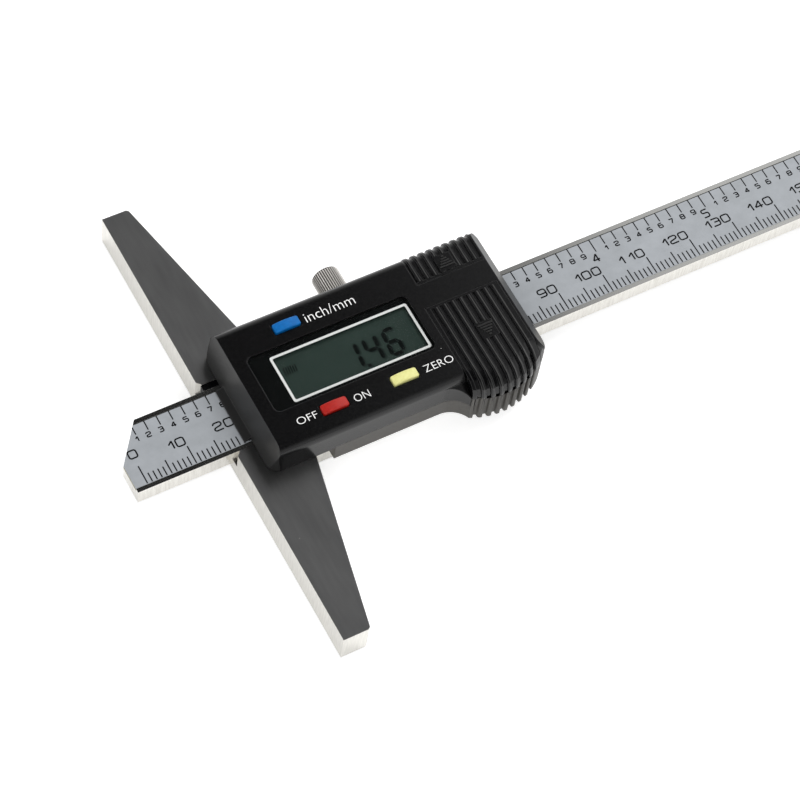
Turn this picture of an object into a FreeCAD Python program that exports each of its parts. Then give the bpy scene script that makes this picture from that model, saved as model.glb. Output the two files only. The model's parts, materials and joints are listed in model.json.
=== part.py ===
import FreeCAD, Part
import math
import os
import re
import Sketcher

# Digital depth gauge, 150 mm, lying on its back with the display up.
# The origin is on the measuring face of the base, under the middle of the beam:
# +X runs away from the measuring tip, +Y to the lock screw, +Z out of the display.

# Driving sizes in millimetres. Names that end in share are plain ratios.
SIZES = {
    # one-piece steel base and slider
    "base_length": 100,
    "base_thick": 7,
    "base_end_depth": 5.5,
    "base_slope_share": 0.2145,
    "base_corner": 0.4,
    "frame_half": 12.35,
    "frame_length": 61,
    "relief_side": 0.9,
    "slide_gap": 0.05,
    "part_gap": 0.1,
    "overrun": 2,
    # depth beam, its scale board and printed film
    "beam_length": 230,
    "beam_width": 14.25,
    "beam_thick": 3.75,
    "beam_reach": 19.9,
    "tip_cut_length": 6,
    "tip_cut_width": 8.1,
    "stop_inset": 12.4,
    "channel_width": 12.5,
    "channel_depth": 0.75,
    "board_thick": 0.6,
    "film_thick": 0.12,
    "film_width": 12.4,
    "stop_head_radius": 1.6,
    "stop_head_height": 1,
    "stop_shank_radius": 0.8,
    "stop_shank_length": 1.9,
    "stop_spacing": 8,
    # gib, its set screws and the lock screw
    "gib_thick": 1.3,
    "gib_inset": 0.6,
    "gib_edge_gap": 0.1,
    "set_screw_radius": 1,
    "set_screw_inset": 0.4,
    "set_screw_spacing": 25,
    "lock_inset": 27.2,
    "lock_bore_radius": 1.55,
    "lock_shank_radius": 1.5,
    "lock_nose_radius": 0.8,
    "lock_nose_length": 0.9,
    "lock_tip_length": 1.6,
    "lock_tip_gap": 0.1,
    "lock_head_radius": 2.85,
    "lock_head_gap": 0.5,
    "lock_head_length": 7.1,
    "lock_head_chamfer": 0.5,
    "lock_neck_gap": 0.5,
    # thin keepers that hold the beam down in its slot
    "keeper_thick": 0.5,
    "keeper_width": 2.4,
    "keeper_inset": 5.6,
    "keeper_end_inset": 0.2,
    "keeper_screw_radius": 0.6,
    "keeper_screw_depth": 3,
    "keeper_head_radius": 1.1,
    "keeper_head_height": 0.5,
    # moulded housing
    "rail_wall": 1.85,
    "housing_height": 7.1,
    "housing_overhang": 1.6,
    "foot_gap": 0.05,
    "seam_rise": 0.45,
    "wall_start": 3.74,
    "wall_draft": 1.86,
    "wall_thick": 1.4,
    "ceiling_thick": 1.4,
    "shoulder_radius": 2.2,
    "front_radius": 2.4,
    "rear_radius": 1.2,
    "bevel_run": 2.3,
    "bevel_drop": 3.1,
    "cavity_inset": 1.4,
    "lip_reach": 1.35,
    "lip_front_height": 0.3,
    "lip_back_height": 1,
    "lip_half": 6,
    # ribbed grip that bulges out below the display
    "grip_width": 18.2,
    "grip_inset": 11.6,
    "grip_bulge": 4.65,
    "grip_radius": 14.65,
    "grip_run": 3.8,
    "grip_fall": 3.3,
    "grip_corner": 6,
    "shoulder_low_run_share": 0.134,
    "shoulder_low_rise_share": 0.5,
    "shoulder_high_run_share": 0.5,
    "shoulder_high_rise_share": 0.866,
    "web_run": 4.9,
    "web_radius": 5.2,
    "rib_inset": 16.15,
    "rib_pitch": 1.75,
    "rib_width": 1,
    "groove_depth": 0.4,
    "fin_depth": 0.7,
    "fin_rise": 3,
    "bump_reach": 0.35,
    # sliding covers over the battery and the data port
    "cover_thick": 0.95,
    "battery_cover_edge": 2,
    "battery_cover_inset": 2.75,
    "data_cover_run": 17,
    "data_cover_inset": 2.4,
    "data_cover_width": 7,
    "data_cover_drop": 1.1,
    "groove_inset": 0.5,
    "arrow_inset": 9.7,
    "arrow_low_y": 6.9,
    "arrow_high_inset": 4.5,
    "arrow_pad_width": 3.5,
    "arrow_pad_height": 3.6,
    # side rails of the lower housing
    "rail_start": 17.13,
    "rail_inset": 0.1,
    # window, display and circuit board
    "lens_left": 8.5,
    "lens_inset": 0.8,
    "lens_margin": 7.9,
    "lens_thick": 0.8,
    "lens_sink": 0.1,
    "lens_corner": 1.2,
    "window_left": 11.6,
    "window_inset": 0.9,
    "window_margin": 0.6,
    "window_middle": 0.4,
    "display_left": 12.2,
    "display_inset": 0.2,
    "display_margin": 0.4,
    "display_thick": 1.7,
    "display_drop": 0.15,
    "holder_wall": 0.8,
    "zebra_width": 1.2,
    "zebra_inset": 0.3,
    "circuit_left": 9.4,
    "circuit_margin": 1,
    "circuit_lift": 0.15,
    "circuit_thick": 1,
    "tongue_inset": 5.1,
    "tongue_gap": 2.4,
    "chip_radius": 2.8,
    "chip_height": 1.1,
    "pad_length": 1.6,
    "pad_width": 1,
    "pad_pitch": 2,
    "pad_thick": 0.05,
    "pad_inset": 13.6,
    # push buttons and the snap domes under them
    "low_button_share": 0.304,
    "high_button_share": 0.742,
    "inch_button_inset": 4.53,
    "low_button_inset": 4.65,
    "button_length": 5.4,
    "button_width": 2.1,
    "button_rise": 0.75,
    "button_edge": 0.3,
    "button_crown": 0.3,
    "button_corner": 0.45,
    "button_gap": 0.12,
    "button_travel": 0.5,
    "flange_margin": 0.5,
    "flange_height": 0.6,
    "stem_radius": 0.9,
    "dome_radius": 2,
    "dome_height": 0.35,
    # coin cell, its tray and contacts
    "cell_inset": 10,
    "cell_shift": 5.05,
    "cell_radius": 5.8,
    "cell_height": 5.3,
    "cap_radius": 4.8,
    "cap_height": 0.5,
    "cell_gap": 0.3,
    "tray_thick": 0.35,
    "tray_margin": 0.2,
    "contact_thick": 0.2,
    "contact_width": 3,
    "contact_rise": 4,
    "contact_foot": 2.6,
    # screws that come up from the back and through the board
    "boss_radius": 1.8,
    "boss_front_x": 12,
    "boss_rear_inset": 1.6,
    "housing_screw_radius": 1,
    "housing_head_radius": 1.8,
    "housing_head_height": 1.2,
    "housing_head_sink": 0.3,
    "screw_cross_width": 0.5,
    "screw_cross_length": 2.2,
    "screw_cross_depth": 0.6,
    "housing_screw_length": 10,
    "board_screw_inset": 4.1,
    "board_boss_radius": 1.5,
    "board_screw_radius": 0.7,
    "board_head_radius": 1.2,
    "board_head_height": 0.5,
    "board_screw_length": 3.5,
}

# Places that follow from the driving sizes.
PLACES = {
    "base_half": "base_length / 2",
    "root_depth": "base_end_depth + (base_half - frame_half) * base_slope_share",
    "beam_half": "beam_width / 2",
    "beam_top": "base_thick - slide_gap",
    "beam_floor": "beam_top - beam_thick",
    "beam_middle": "beam_floor + beam_thick / 2",
    "beam_end": "beam_length - beam_reach",
    "tip_cut_y": "beam_half - tip_cut_width",
    "tip_slope": "tip_cut_length / tip_cut_width",
    "channel_floor": "beam_top - channel_depth",
    "film_floor": "channel_floor + board_thick",
    "slot_floor": "beam_floor - slide_gap",
    "slot_low": "-beam_half - slide_gap",
    "gib_inner": "beam_half + slide_gap",
    "gib_outer": "gib_inner + gib_thick",
    "slot_high": "gib_outer + slide_gap",
    "low_rail_y": "(slot_low - frame_half) / 2",
    "high_rail_y": "(slot_high + frame_half) / 2",
    "stop_x": "beam_end - stop_inset",
    "lock_x": "frame_length - lock_inset",
    "lock_tip_y": "gib_outer + lock_tip_gap",
    "keeper_top": "base_thick + keeper_thick",
    "rear_keeper_x": "frame_length - keeper_end_inset - keeper_width",
    "rail_inner": "frame_half + rail_inset",
    "body_half": "rail_inner + rail_wall",
    "housing_end": "frame_length + housing_overhang",
    "top": "base_thick + housing_height",
    "foot": "base_thick + foot_gap",
    "seam": "base_thick + seam_rise",
    "ceiling": "top - ceiling_thick",
    "rail_top": "seam - foot_gap",
    "grip_left": "housing_end - grip_width",
    "grip_x": "housing_end - grip_inset",
    "grip_y": "body_half + grip_bulge - grip_radius",
    "cavity_end": "grip_left - cavity_inset",
    "corner_x": "housing_end - grip_corner",
    "corner_reach": "grip_radius - grip_corner",
    "corner_y": "-grip_y - sqrt(pow(corner_reach; 2) - pow(corner_x - grip_x; 2))",
    "corner_turn_x": "grip_x + (corner_x - grip_x) * grip_radius / corner_reach",
    "corner_turn_y": "-grip_y + (corner_y + grip_y) * grip_radius / corner_reach",
    "fin_top": "base_thick + fin_rise",
    "shoulder_floor": "top - grip_fall",
    "cover_floor": "top - cover_thick",
    "rib_first": "housing_end - rib_inset",
    "battery_cover_end": "housing_end - battery_cover_inset",
    "data_cover_start": "housing_end - data_cover_run",
    "data_cover_end": "housing_end - data_cover_inset",
    "data_cover_edge": "body_half - data_cover_width",
    "arrow_x": "housing_end - arrow_inset",
    "arrow_high_y": "body_half - arrow_high_inset",
    "lens_right": "cavity_end - lens_inset",
    "window_right": "lens_right - window_inset",
    "display_right": "lens_right - display_inset",
    "circuit_right": "cavity_end - part_gap",
    "circuit_half": "body_half - wall_thick - circuit_margin",
    "tongue_end": "housing_end - tongue_inset",
    "tongue_low": "cell_back + tongue_gap",
    "chip_x": "(circuit_left + circuit_right) / 2",
    "pad_first": "housing_end - pad_inset",
    "inch_button_y": "body_half - inch_button_inset",
    "low_button_y": "body_half - low_button_inset",
    "crown_radius": "(pow(button_length / 2; 2) + pow(button_crown; 2)) / (button_crown * 2)",
    "low_button_x": "lens_left + (lens_right - lens_left) * low_button_share",
    "high_button_x": "lens_left + (lens_right - lens_left) * high_button_share",
    "lens_half": "body_half - lens_margin",
    "window_half": "lens_half - window_margin",
    "display_half": "lens_half - display_margin",
    "lock_head_start": "body_half + lock_head_gap",
    "boss_rear_x": "cavity_end - boss_rear_inset",
    "board_screw_x": "(low_button_x + high_button_x) / 2",
    "board_screw_y": "body_half - board_screw_inset",
    "lens_top": "top - lens_sink",
    "lens_floor": "lens_top - lens_thick",
    "circuit_floor": "base_thick + circuit_lift",
    "circuit_top": "circuit_floor + circuit_thick",
    "display_top": "ceiling - display_drop",
    "display_floor": "display_top - display_thick",
    "stem_floor": "circuit_top + dome_height + button_travel + part_gap",
    "flange_top": "ceiling - slide_gap",
    "tray_top": "foot + tray_thick",
    "cell_x": "housing_end - cell_inset",
    "cell_y": "frame_half - cell_shift",
    "cell_floor": "tray_top + contact_thick + slide_gap",
    "cell_back": "-cell_y + cell_radius",
}

doc = FreeCAD.newDocument("depth_gauge")
sheet = doc.addObject("Spreadsheet::Sheet", "dims")
for row, (name, size) in enumerate(SIZES.items(), start=1):
    sheet.set("A%d" % row, name)
    sheet.set("B%d" % row, str(size))
    sheet.setAlias("B%d" % row, name)
doc.recompute()

PARTS = []


def formula(text):
    """Write a formula of sizes and places as the sheet's own expression."""
    def swap(match):
        word = match.group(0)
        if word in PLACES:
            return "(" + formula(PLACES[word]) + ")"
        if word in SIZES:
            return "dims." + word
        return word
    return re.sub(r"[a-z_]+", swap, str(text))


def value(text):
    """The present value of a formula, in millimetres."""
    return float(sheet.evalExpression(formula(text)))


def bind(thing, **properties):
    """Tie properties of an object to formulas of the sheet."""
    for name, text in properties.items():
        thing.setExpression(name, formula(text))


def place(thing, x, y, z):
    """Tie an object's base point to formulas of the sheet."""
    for axis, text in zip("xyz", (x, y, z)):
        thing.setExpression("Placement.Base." + axis, formula(text))


def box(name, x, y, z):
    """A block between two formulas on each axis."""
    block = doc.addObject("Part::Box", name)
    place(block, x[0], y[0], z[0])
    bind(
        block,
        Length="(%s) - (%s)" % (x[1], x[0]),
        Width="(%s) - (%s)" % (y[1], y[0]),
        Height="(%s) - (%s)" % (z[1], z[0]),
    )
    return block


TURNS = {
    "+Z": FreeCAD.Rotation(FreeCAD.Vector(1, 0, 0), 0),
    "-Z": FreeCAD.Rotation(FreeCAD.Vector(1, 0, 0), 180),
    "+Y": FreeCAD.Rotation(FreeCAD.Vector(1, 0, 0), -90),
    "-Y": FreeCAD.Rotation(FreeCAD.Vector(1, 0, 0), 90),
}


def cylinder(name, x, y, z, radius, height, axis="+Z"):
    """A round bar from a point along an axis."""
    bar = doc.addObject("Part::Cylinder", name)
    bar.Placement = FreeCAD.Placement(FreeCAD.Vector(), TURNS[axis])
    place(bar, x, y, z)
    bind(bar, Radius=radius, Height=height)
    return bar


def rod(name, x, y, z, radius, height, axis="+Z", sides=10):
    """A many-sided bar, for the shanks, bores and bosses that nothing shows."""
    bar = doc.addObject("Part::Prism", name)
    bar.Polygon = sides
    bar.Placement = FreeCAD.Placement(FreeCAD.Vector(), TURNS[axis])
    place(bar, x, y, z)
    bind(bar, Circumradius=radius, Height=height)
    return bar


def cone(name, x, y, z, radius, end_radius, height, axis="+Z"):
    """A round taper from a point along an axis."""
    taper = doc.addObject("Part::Cone", name)
    taper.Placement = FreeCAD.Placement(FreeCAD.Vector(), TURNS[axis])
    place(taper, x, y, z)
    bind(taper, Radius1=radius, Radius2=end_radius, Height=height)
    return taper


def join(name, *things):
    """Fuse several objects into one."""
    union = doc.addObject("Part::MultiFuse", name)
    union.Shapes = list(things)
    return union


def group(name, *things):
    """Keep several separate solids as one sub-part."""
    bundle = doc.addObject("Part::Compound", name)
    bundle.Links = list(things)
    return bundle


def cut(name, base, *tools):
    """Take one or more tools out of a base."""
    tool = tools[0] if len(tools) == 1 else join(name + "_tools", *tools)
    remainder = doc.addObject("Part::Cut", name)
    remainder.Base = base
    remainder.Tool = tool
    return remainder


def overlap(name, *things):
    """Keep only what several objects share."""
    shared = doc.addObject("Part::MultiCommon", name)
    shared.Shapes = list(things)
    return shared


def arc_between(start, end, radius, side):
    """A circular arc under a half turn; side is 1 where its centre lies to the left."""
    chord = end.sub(start)
    across = FreeCAD.Vector(-chord.y, chord.x, 0).normalize()
    rise = math.sqrt(radius ** 2 - (chord.Length / 2) ** 2)
    centre = start.add(chord.multiply(0.5)).add(across.multiply(rise * side))
    first, last = (start, end) if side > 0 else (end, start)
    angles = [math.atan2(point.y - centre.y, point.x - centre.x) for point in (first, last)]
    return Part.ArcOfCircle(Part.Circle(centre, FreeCAD.Vector(0, 0, 1), radius), *angles)


def outline(sketch, corners):
    """Draw a closed outline; a corner is (x, y), or (x, y, radius, side) where an arc leaves it."""
    points = [FreeCAD.Vector(value(corner[0]), value(corner[1]), 0) for corner in corners]
    ends = []
    for index, corner in enumerate(corners):
        start = points[index]
        end = points[(index + 1) % len(points)]
        if len(corner) == 2:
            sketch.addGeometry(Part.LineSegment(start, end), False)
            ends.append((1, 2))
        else:
            sketch.addGeometry(arc_between(start, end, value(corner[2]), corner[3]), False)
            ends.append((1, 2) if corner[3] > 0 else (2, 1))
    for index, corner in enumerate(corners):
        following = (index + 1) % len(corners)
        sketch.addConstraint(
            Sketcher.Constraint("Coincident", index, ends[index][1], following, ends[following][0])
        )
        tie(sketch, ("DistanceX", -1, 1, index, ends[index][0]), corner[0])
        tie(sketch, ("DistanceY", -1, 1, index, ends[index][0]), corner[1])
        if len(corner) == 4:
            tie(sketch, ("Radius", index), corner[2])


def tie(sketch, constraint, text):
    """Add one dimension to a sketch and tie it to a formula."""
    number = sketch.addConstraint(Sketcher.Constraint(*constraint, value(text)))
    sketch.setExpression("Constraints[%d]" % number, formula(text))


def prism(name, plane, corners, low, high):
    """A padded outline: XY pads run up, XZ pads lie across the beam, YZ pads run along it."""
    body = doc.addObject("PartDesign::Body", name)
    sketch = body.newObject("Sketcher::SketchObject", name + "_outline")
    role = plane + "_Plane"
    support = [feature for feature in body.Origin.OriginFeatures if feature.Role == role][0]
    sketch.AttachmentSupport = (support, "")
    sketch.MapMode = "FlatFace"
    outline(sketch, corners)
    offset = "-(%s)" % high if plane == "XZ" else low
    sketch.setExpression("AttachmentOffset.Base.z", formula(offset))
    pad = body.newObject("PartDesign::Pad", name + "_pad")
    pad.Profile = sketch
    bind(pad, Length="(%s) - (%s)" % (high, low))
    sketch.Visibility = False
    return body


def rounded(name, thing, radius, chosen):
    """Round the edges that a test picks."""
    doc.recompute()
    fillet = doc.addObject("Part::Fillet", name)
    fillet.Base = thing
    size = value(radius)
    edges = enumerate(thing.Shape.Edges, start=1)
    fillet.Edges = [(number, size, size) for number, edge in edges if chosen(edge)]
    return fillet


def keep(thing, label):
    """Name a finished sub-part and put it on the list to hand over."""
    thing.Label = label
    PARTS.append(thing)
    return thing


def upright(edge):
    """True for a straight edge along Z."""
    return abs(edge.tangentAt(edge.FirstParameter).z) > math.cos(math.radians(5))


def above(level):
    """A test for edges that lie wholly above a level."""
    height = value(level) - value("slide_gap") / 2
    return lambda edge: edge.BoundBox.ZMin > height


# Places of the repeated screws: along X, and across on the two rails of the frame
RAILS = ("low_rail_y", "high_rail_y")
HOUSING_SCREWS = [(x, y) for x in ("boss_front_x", "boss_rear_x") for y in RAILS]
KEEPER_SPANS = {"front": "keeper_inset", "rear": "rear_keeper_x"}
KEEPER_SCREWS = [(x + " + keeper_width / 2", y) for x in KEEPER_SPANS.values() for y in RAILS]
SET_SCREWS = ["lock_x - set_screw_spacing / 2", "lock_x + set_screw_spacing / 2"]
BOARD_SCREWS = ["-board_screw_y", "board_screw_y"]
# The grip's shoulder: how far in and how far up each step of its round has come
SHOULDER = [
    ("0", "0"),
    ("grip_run * shoulder_low_run_share", "grip_fall * shoulder_low_rise_share"),
    ("grip_run * shoulder_high_run_share", "grip_fall * shoulder_high_rise_share"),
    ("grip_run", "grip_fall"),
]
PLAIN_SHOULDER = [SHOULDER[0], SHOULDER[-1]]
BUTTONS = {
    "button_inch_mm": ("low_button_x", "inch_button_y"),
    "button_on_off": ("low_button_x", "-low_button_y"),
    "button_zero": ("high_button_x", "-low_button_y"),
}


def base_frame():
    """The hardened base and the slider behind it, one piece of steel with the beam's slot."""
    plate = prism("frame_plate", "XY", [
        ("0", "-base_half"),
        ("base_end_depth - base_corner", "-base_half"),
        ("base_end_depth + base_corner * base_slope_share", "-base_half + base_corner"),
        ("root_depth", "-frame_half"),
        ("frame_length", "-frame_half"),
        ("frame_length", "frame_half"),
        ("root_depth", "frame_half"),
        ("base_end_depth + base_corner * base_slope_share", "base_half - base_corner"),
        ("base_end_depth - base_corner", "base_half"),
        ("0", "base_half"),
    ], "0", "base_thick")
    tools = [box(
        "beam_slot",
        ("-overrun", "frame_length + overrun"),
        ("slot_low", "slot_high"),
        ("slot_floor", "base_thick + overrun"),
    )]
    for name, y in (("low", "slot_low"), ("high", "slot_high")):
        tools.append(prism("relief_" + name, "XY", [
            ("-relief_side", y),
            ("0", "(%s) - relief_side" % y),
            ("relief_side", y),
            ("0", "(%s) + relief_side" % y),
        ], "slot_floor", "base_thick + overrun"))
    tools.append(cylinder(
        "lock_bore", "lock_x", "slot_high - slide_gap", "beam_middle",
        "lock_bore_radius", "frame_half + overrun - slot_high", "+Y",
    ))
    for number, x in enumerate(SET_SCREWS):
        tools.append(rod(
            "set_screw_bore_%d" % number, x, "slot_high - slide_gap", "beam_middle",
            "set_screw_radius + slide_gap", "frame_half + overrun - slot_high", "+Y",
        ))
    for number, (x, y) in enumerate(HOUSING_SCREWS):
        tools.append(rod(
            "housing_bore_%d" % number, x, y, "-overrun",
            "housing_screw_radius + part_gap", "base_thick + overrun * 2",
        ))
        tools.append(rod(
            "housing_sink_%d" % number, x, y, "-overrun", "housing_head_radius + part_gap",
            "overrun + housing_head_sink + housing_head_height + slide_gap", sides=20,
        ))
    for number, (x, y) in enumerate(KEEPER_SCREWS):
        tools.append(rod(
            "keeper_bore_%d" % number, x, y, "base_thick - keeper_screw_depth - part_gap",
            "keeper_screw_radius + slide_gap", "keeper_screw_depth + overrun",
        ))
    return keep(cut("frame_cut", plate, *tools), "base_frame")


def tip_outline(half):
    """The plan of the beam, or of a strip on it, with the slanted corner of the measuring tip."""
    return [
        ("-beam_reach", "-(%s)" % half),
        ("beam_end", "-(%s)" % half),
        ("beam_end", half),
        ("-beam_reach + ((%s) - tip_cut_y) * tip_slope" % half, half),
        ("-beam_reach", "tip_cut_y"),
    ]


def channel_outline(half):
    """The plan of the shallow channel, which runs out of both ends of the beam."""
    return [
        ("-beam_reach - overrun", "-(%s)" % half),
        ("beam_end + overrun", "-(%s)" % half),
        ("beam_end + overrun", half),
        ("-beam_reach - overrun", half),
    ]


def beam_parts():
    """The beam with its channel, the scale board, the printed film and the stop screws."""
    blank = prism("beam_blank", "XY", tip_outline("beam_half"), "beam_floor", "beam_top")
    channel = prism(
        "beam_channel", "XY", channel_outline("channel_width / 2"), "channel_floor", "beam_top + overrun"
    )
    holes = []
    screws = []
    for number, y in enumerate(("-stop_spacing / 2", "stop_spacing / 2")):
        holes.append(rod(
            "stop_hole_%d" % number, "stop_x", y, "beam_floor - overrun",
            "stop_shank_radius + slide_gap", "overrun + stop_shank_length + slide_gap",
        ))
        head = rod(
            "stop_head_%d" % number, "stop_x", y, "beam_floor - stop_head_height",
            "stop_head_radius", "stop_head_height", sides=20,
        )
        shank = rod(
            "stop_shank_%d" % number, "stop_x", y, "beam_floor - stop_head_height / 2",
            "stop_shank_radius", "stop_shank_length + stop_head_height / 2",
        )
        screws.append(join("stop_screw_%d" % number, head, shank))
    keep(cut("beam_cut", blank, channel, *holes), "depth_beam")
    keep(group("stop_screw_pair", *screws), "beam_stop_screws")
    keep(prism(
        "scale_board", "XY", tip_outline("film_width / 2"), "channel_floor", "film_floor"
    ), "scale_board")
    keep(prism(
        "scale_film", "XY", tip_outline("film_width / 2"), "film_floor", "film_floor + film_thick"
    ), "scale_film")


def gib_parts():
    """The blued gib strip and the two set screws that press it to the beam."""
    keep(box(
        "gib_strip",
        ("gib_inset", "frame_length - gib_inset"),
        ("gib_inner", "gib_outer"),
        ("slot_floor + gib_edge_gap", "base_thick - gib_edge_gap"),
    ), "gib_strip")
    screws = [rod(
        "set_screw_%d" % number, x, "gib_outer + slide_gap", "beam_middle",
        "set_screw_radius", "frame_half - set_screw_inset - gib_outer - slide_gap", "+Y",
    ) for number, x in enumerate(SET_SCREWS)]
    keep(group("set_screw_pair", *screws), "gib_set_screws")


def lock_parts():
    """The knurled lock screw and the brass tip that it pushes against the gib."""
    pad = cylinder(
        "lock_pad", "lock_x", "lock_tip_y", "beam_middle", "lock_shank_radius", "lock_tip_length", "+Y"
    )
    socket = cylinder(
        "lock_socket", "lock_x", "lock_tip_y + lock_tip_length - lock_nose_length - slide_gap", "beam_middle",
        "lock_nose_radius + slide_gap", "lock_nose_length + overrun", "+Y",
    )
    keep(cut("lock_tip_cut", pad, socket), "lock_tip")
    shank_y = "lock_tip_y + lock_tip_length + slide_gap"
    nose = cylinder(
        "lock_nose", "lock_x", "(%s) - lock_nose_length" % shank_y, "beam_middle",
        "lock_nose_radius", "lock_nose_length + overrun", "+Y",
    )
    shank = cylinder(
        "lock_shank", "lock_x", shank_y, "beam_middle",
        "lock_shank_radius", "lock_head_start + overrun - (%s)" % shank_y, "+Y",
    )
    # Nine square bars turned by equal steps give the thirty-six ridges of the straight knurl.
    ridges = []
    for step in range(9):
        ridge = doc.addObject("Part::Prism", "knurl_%d" % step)
        ridge.Polygon = 4
        spin = FreeCAD.Rotation(FreeCAD.Vector(0, 0, 1), step * 10)
        ridge.Placement = FreeCAD.Placement(FreeCAD.Vector(), TURNS["+Y"].multiply(spin))
        place(ridge, "lock_x", "lock_head_start", "beam_middle")
        bind(ridge, Circumradius="lock_head_radius", Height="lock_head_length")
        ridges.append(ridge)
    knurl = join("knurl_ridges", *ridges)
    drum = cylinder(
        "knurl_drum", "lock_x", "lock_head_start", "beam_middle",
        "lock_head_radius", "lock_head_length - lock_head_chamfer", "+Y",
    )
    chamfer = cone(
        "knurl_end", "lock_x", "lock_head_start + lock_head_length - lock_head_chamfer", "beam_middle",
        "lock_head_radius", "lock_head_radius - lock_head_chamfer", "lock_head_chamfer", "+Y",
    )
    head = overlap("lock_head", knurl, join("knurl_limit", drum, chamfer))
    keep(join("lock_screw_body", nose, shank, head), "lock_screw")


def keepers():
    """Two thin steel strips across the slot, each held by a screw on either rail."""
    screws = []
    for end, x in KEEPER_SPANS.items():
        strip = box(
            "keeper_strip_" + end,
            (x, x + " + keeper_width"),
            ("-frame_half", "frame_half"),
            ("base_thick", "keeper_top"),
        )
        holes = [rod(
            "keeper_hole_%s_%d" % (end, number), x + " + keeper_width / 2", y, "base_thick - overrun",
            "keeper_screw_radius + slide_gap", "keeper_thick + overrun * 2",
        ) for number, y in enumerate(RAILS)]
        keep(cut("keeper_cut_" + end, strip, *holes), "keeper_" + end)
    for number, (x, y) in enumerate(KEEPER_SCREWS):
        head = rod(
            "keeper_head_%d" % number, x, y, "keeper_top", "keeper_head_radius", "keeper_head_height"
        )
        shank = rod(
            "keeper_shank_%d" % number, x, y, "base_thick - keeper_screw_depth",
            "keeper_screw_radius", "keeper_screw_depth + keeper_thick + keeper_head_height / 2",
        )
        screws.append(join("keeper_screw_%d" % number, head, shank))
    keep(group("keeper_screw_set", *screws), "keeper_screws")


def section(name, half, radius, crown, low, high):
    """The housing's cross section with rounded shoulders, run along the beam."""
    return prism(name, "YZ", [
        ("-(%s)" % half, "0"),
        (half, "0"),
        (half, "(%s) - (%s)" % (crown, radius), radius, 1),
        ("(%s) - (%s)" % (half, radius), crown),
        ("-(%s) + (%s)" % (half, radius), crown, radius, 1),
        ("-(%s)" % half, "(%s) - (%s)" % (crown, radius)),
    ], low, high)


def round_grip(name, inset, floor, crown_drop, shoulder=SHOULDER):
    """The round grip with its sloped shoulder, drawn in all over by an inset."""
    drum = cylinder(
        name + "_drum", "grip_x", "-grip_y", floor,
        "grip_radius - (%s)" % inset, "shoulder_floor - (%s) - (%s)" % (crown_drop, floor),
    )
    tapers = []
    for step, ((run, rise), (next_run, next_rise)) in enumerate(zip(shoulder, shoulder[1:])):
        tapers.append(cone(
            name + "_shoulder_%d" % step, "grip_x", "-grip_y",
            "shoulder_floor + %s - (%s)" % (rise, crown_drop),
            "grip_radius - %s - (%s)" % (run, inset),
            "grip_radius - %s - (%s)" % (next_run, inset),
            "%s - %s" % (next_rise, rise),
        ))
    return join(name, drum, *tapers)


def corner_limit(name, low, high):
    """All but the rear corner of the grip, which is well rounded."""
    far = "-grip_y - grip_radius - overrun"
    return prism(name, "XY", [
        ("wall_start - lip_reach - overrun", far),
        ("corner_turn_x", far),
        ("corner_turn_x", "corner_turn_y", "grip_corner", 1),
        ("housing_end", "corner_y"),
        ("housing_end", "body_half + overrun"),
        ("wall_start - lip_reach - overrun", "body_half + overrun"),
    ], low, high)


def web_outline(end):
    """The plan of the hollow curve that leads from the narrow housing out to the grip."""
    reach = "-grip_y - sqrt(pow(grip_radius; 2) - pow(grip_x - grip_left; 2))"
    return [
        ("grip_left - web_run", "-body_half", "web_radius", -1),
        ("grip_left", reach),
        (end, reach),
        (end, "-body_half + wall_thick"),
        ("grip_left - web_run", "-body_half + wall_thick"),
    ]


def outer_form():
    """The outer form of the upper housing together with its two covers."""
    side = prism("side_profile", "XZ", [
        ("wall_start", "foot"),
        ("housing_end", "foot"),
        ("housing_end", "top - bevel_drop"),
        ("housing_end - bevel_run", "top"),
        ("wall_start + wall_draft", "top"),
    ], "-grip_y - grip_radius - overrun", "body_half + overrun")
    plan = prism("plan_profile", "XY", [
        ("wall_start", "-body_half + front_radius", "front_radius", 1),
        ("wall_start + front_radius", "-body_half"),
        ("housing_end", "-body_half"),
        ("housing_end", "body_half - rear_radius", "rear_radius", 1),
        ("housing_end - rear_radius", "body_half"),
        ("wall_start + front_radius", "body_half", "front_radius", 1),
        ("wall_start", "body_half - front_radius"),
    ], "foot", "top + overrun")
    across = section("cross_section", "body_half", "shoulder_radius", "top", "0", "housing_end + overrun")
    narrow = overlap("narrow_form", side, plan, across)
    window = box(
        "grip_limit",
        ("grip_left", "housing_end + overrun"),
        ("-grip_y - grip_radius - overrun", "-grip_y"),
        ("foot", "top + overrun"),
    )
    grip = overlap("grip_form", round_grip("grip_round", "0", "foot", "0"), side, window)
    roof = prism("web_roof", "YZ", [
        ("-grip_y - grip_radius", "foot"),
        ("0", "foot"),
        ("0", "top - shoulder_radius"),
        ("-body_half", "top - shoulder_radius"),
        ("-grip_y - grip_radius", "top - shoulder_radius - grip_fall"),
    ], "grip_left - web_run - overrun", "grip_left + wall_thick")
    web = overlap(
        "web_form", roof,
        prism("web_plan", "XY", web_outline("grip_left + wall_thick / 2"), "foot", "top"),
    )
    lip = prism("lip_form", "XZ", [
        ("wall_start - lip_reach", "foot"),
        ("wall_start + wall_thick / 2", "foot"),
        ("wall_start + wall_thick / 2", "foot + lip_back_height"),
        ("wall_start - lip_reach", "foot + lip_front_height"),
    ], "-lip_half", "lip_half")
    square = join("square_form", narrow, grip, web, lip)
    return overlap("outer_form", square, corner_limit("outer_corner", "foot", "top + overrun"))


def grooves(name, first, count, y, z):
    """Blocks that fill the spaces between neighbouring ribs."""
    return [box(
        "%s_%d" % (name, number),
        (
            "rib_first + rib_pitch * (%d) + rib_width / 2" % number,
            "rib_first + rib_pitch * (%d) - rib_width / 2" % (number + 1),
        ), y, z,
    ) for number in range(first, first + count)]


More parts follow.
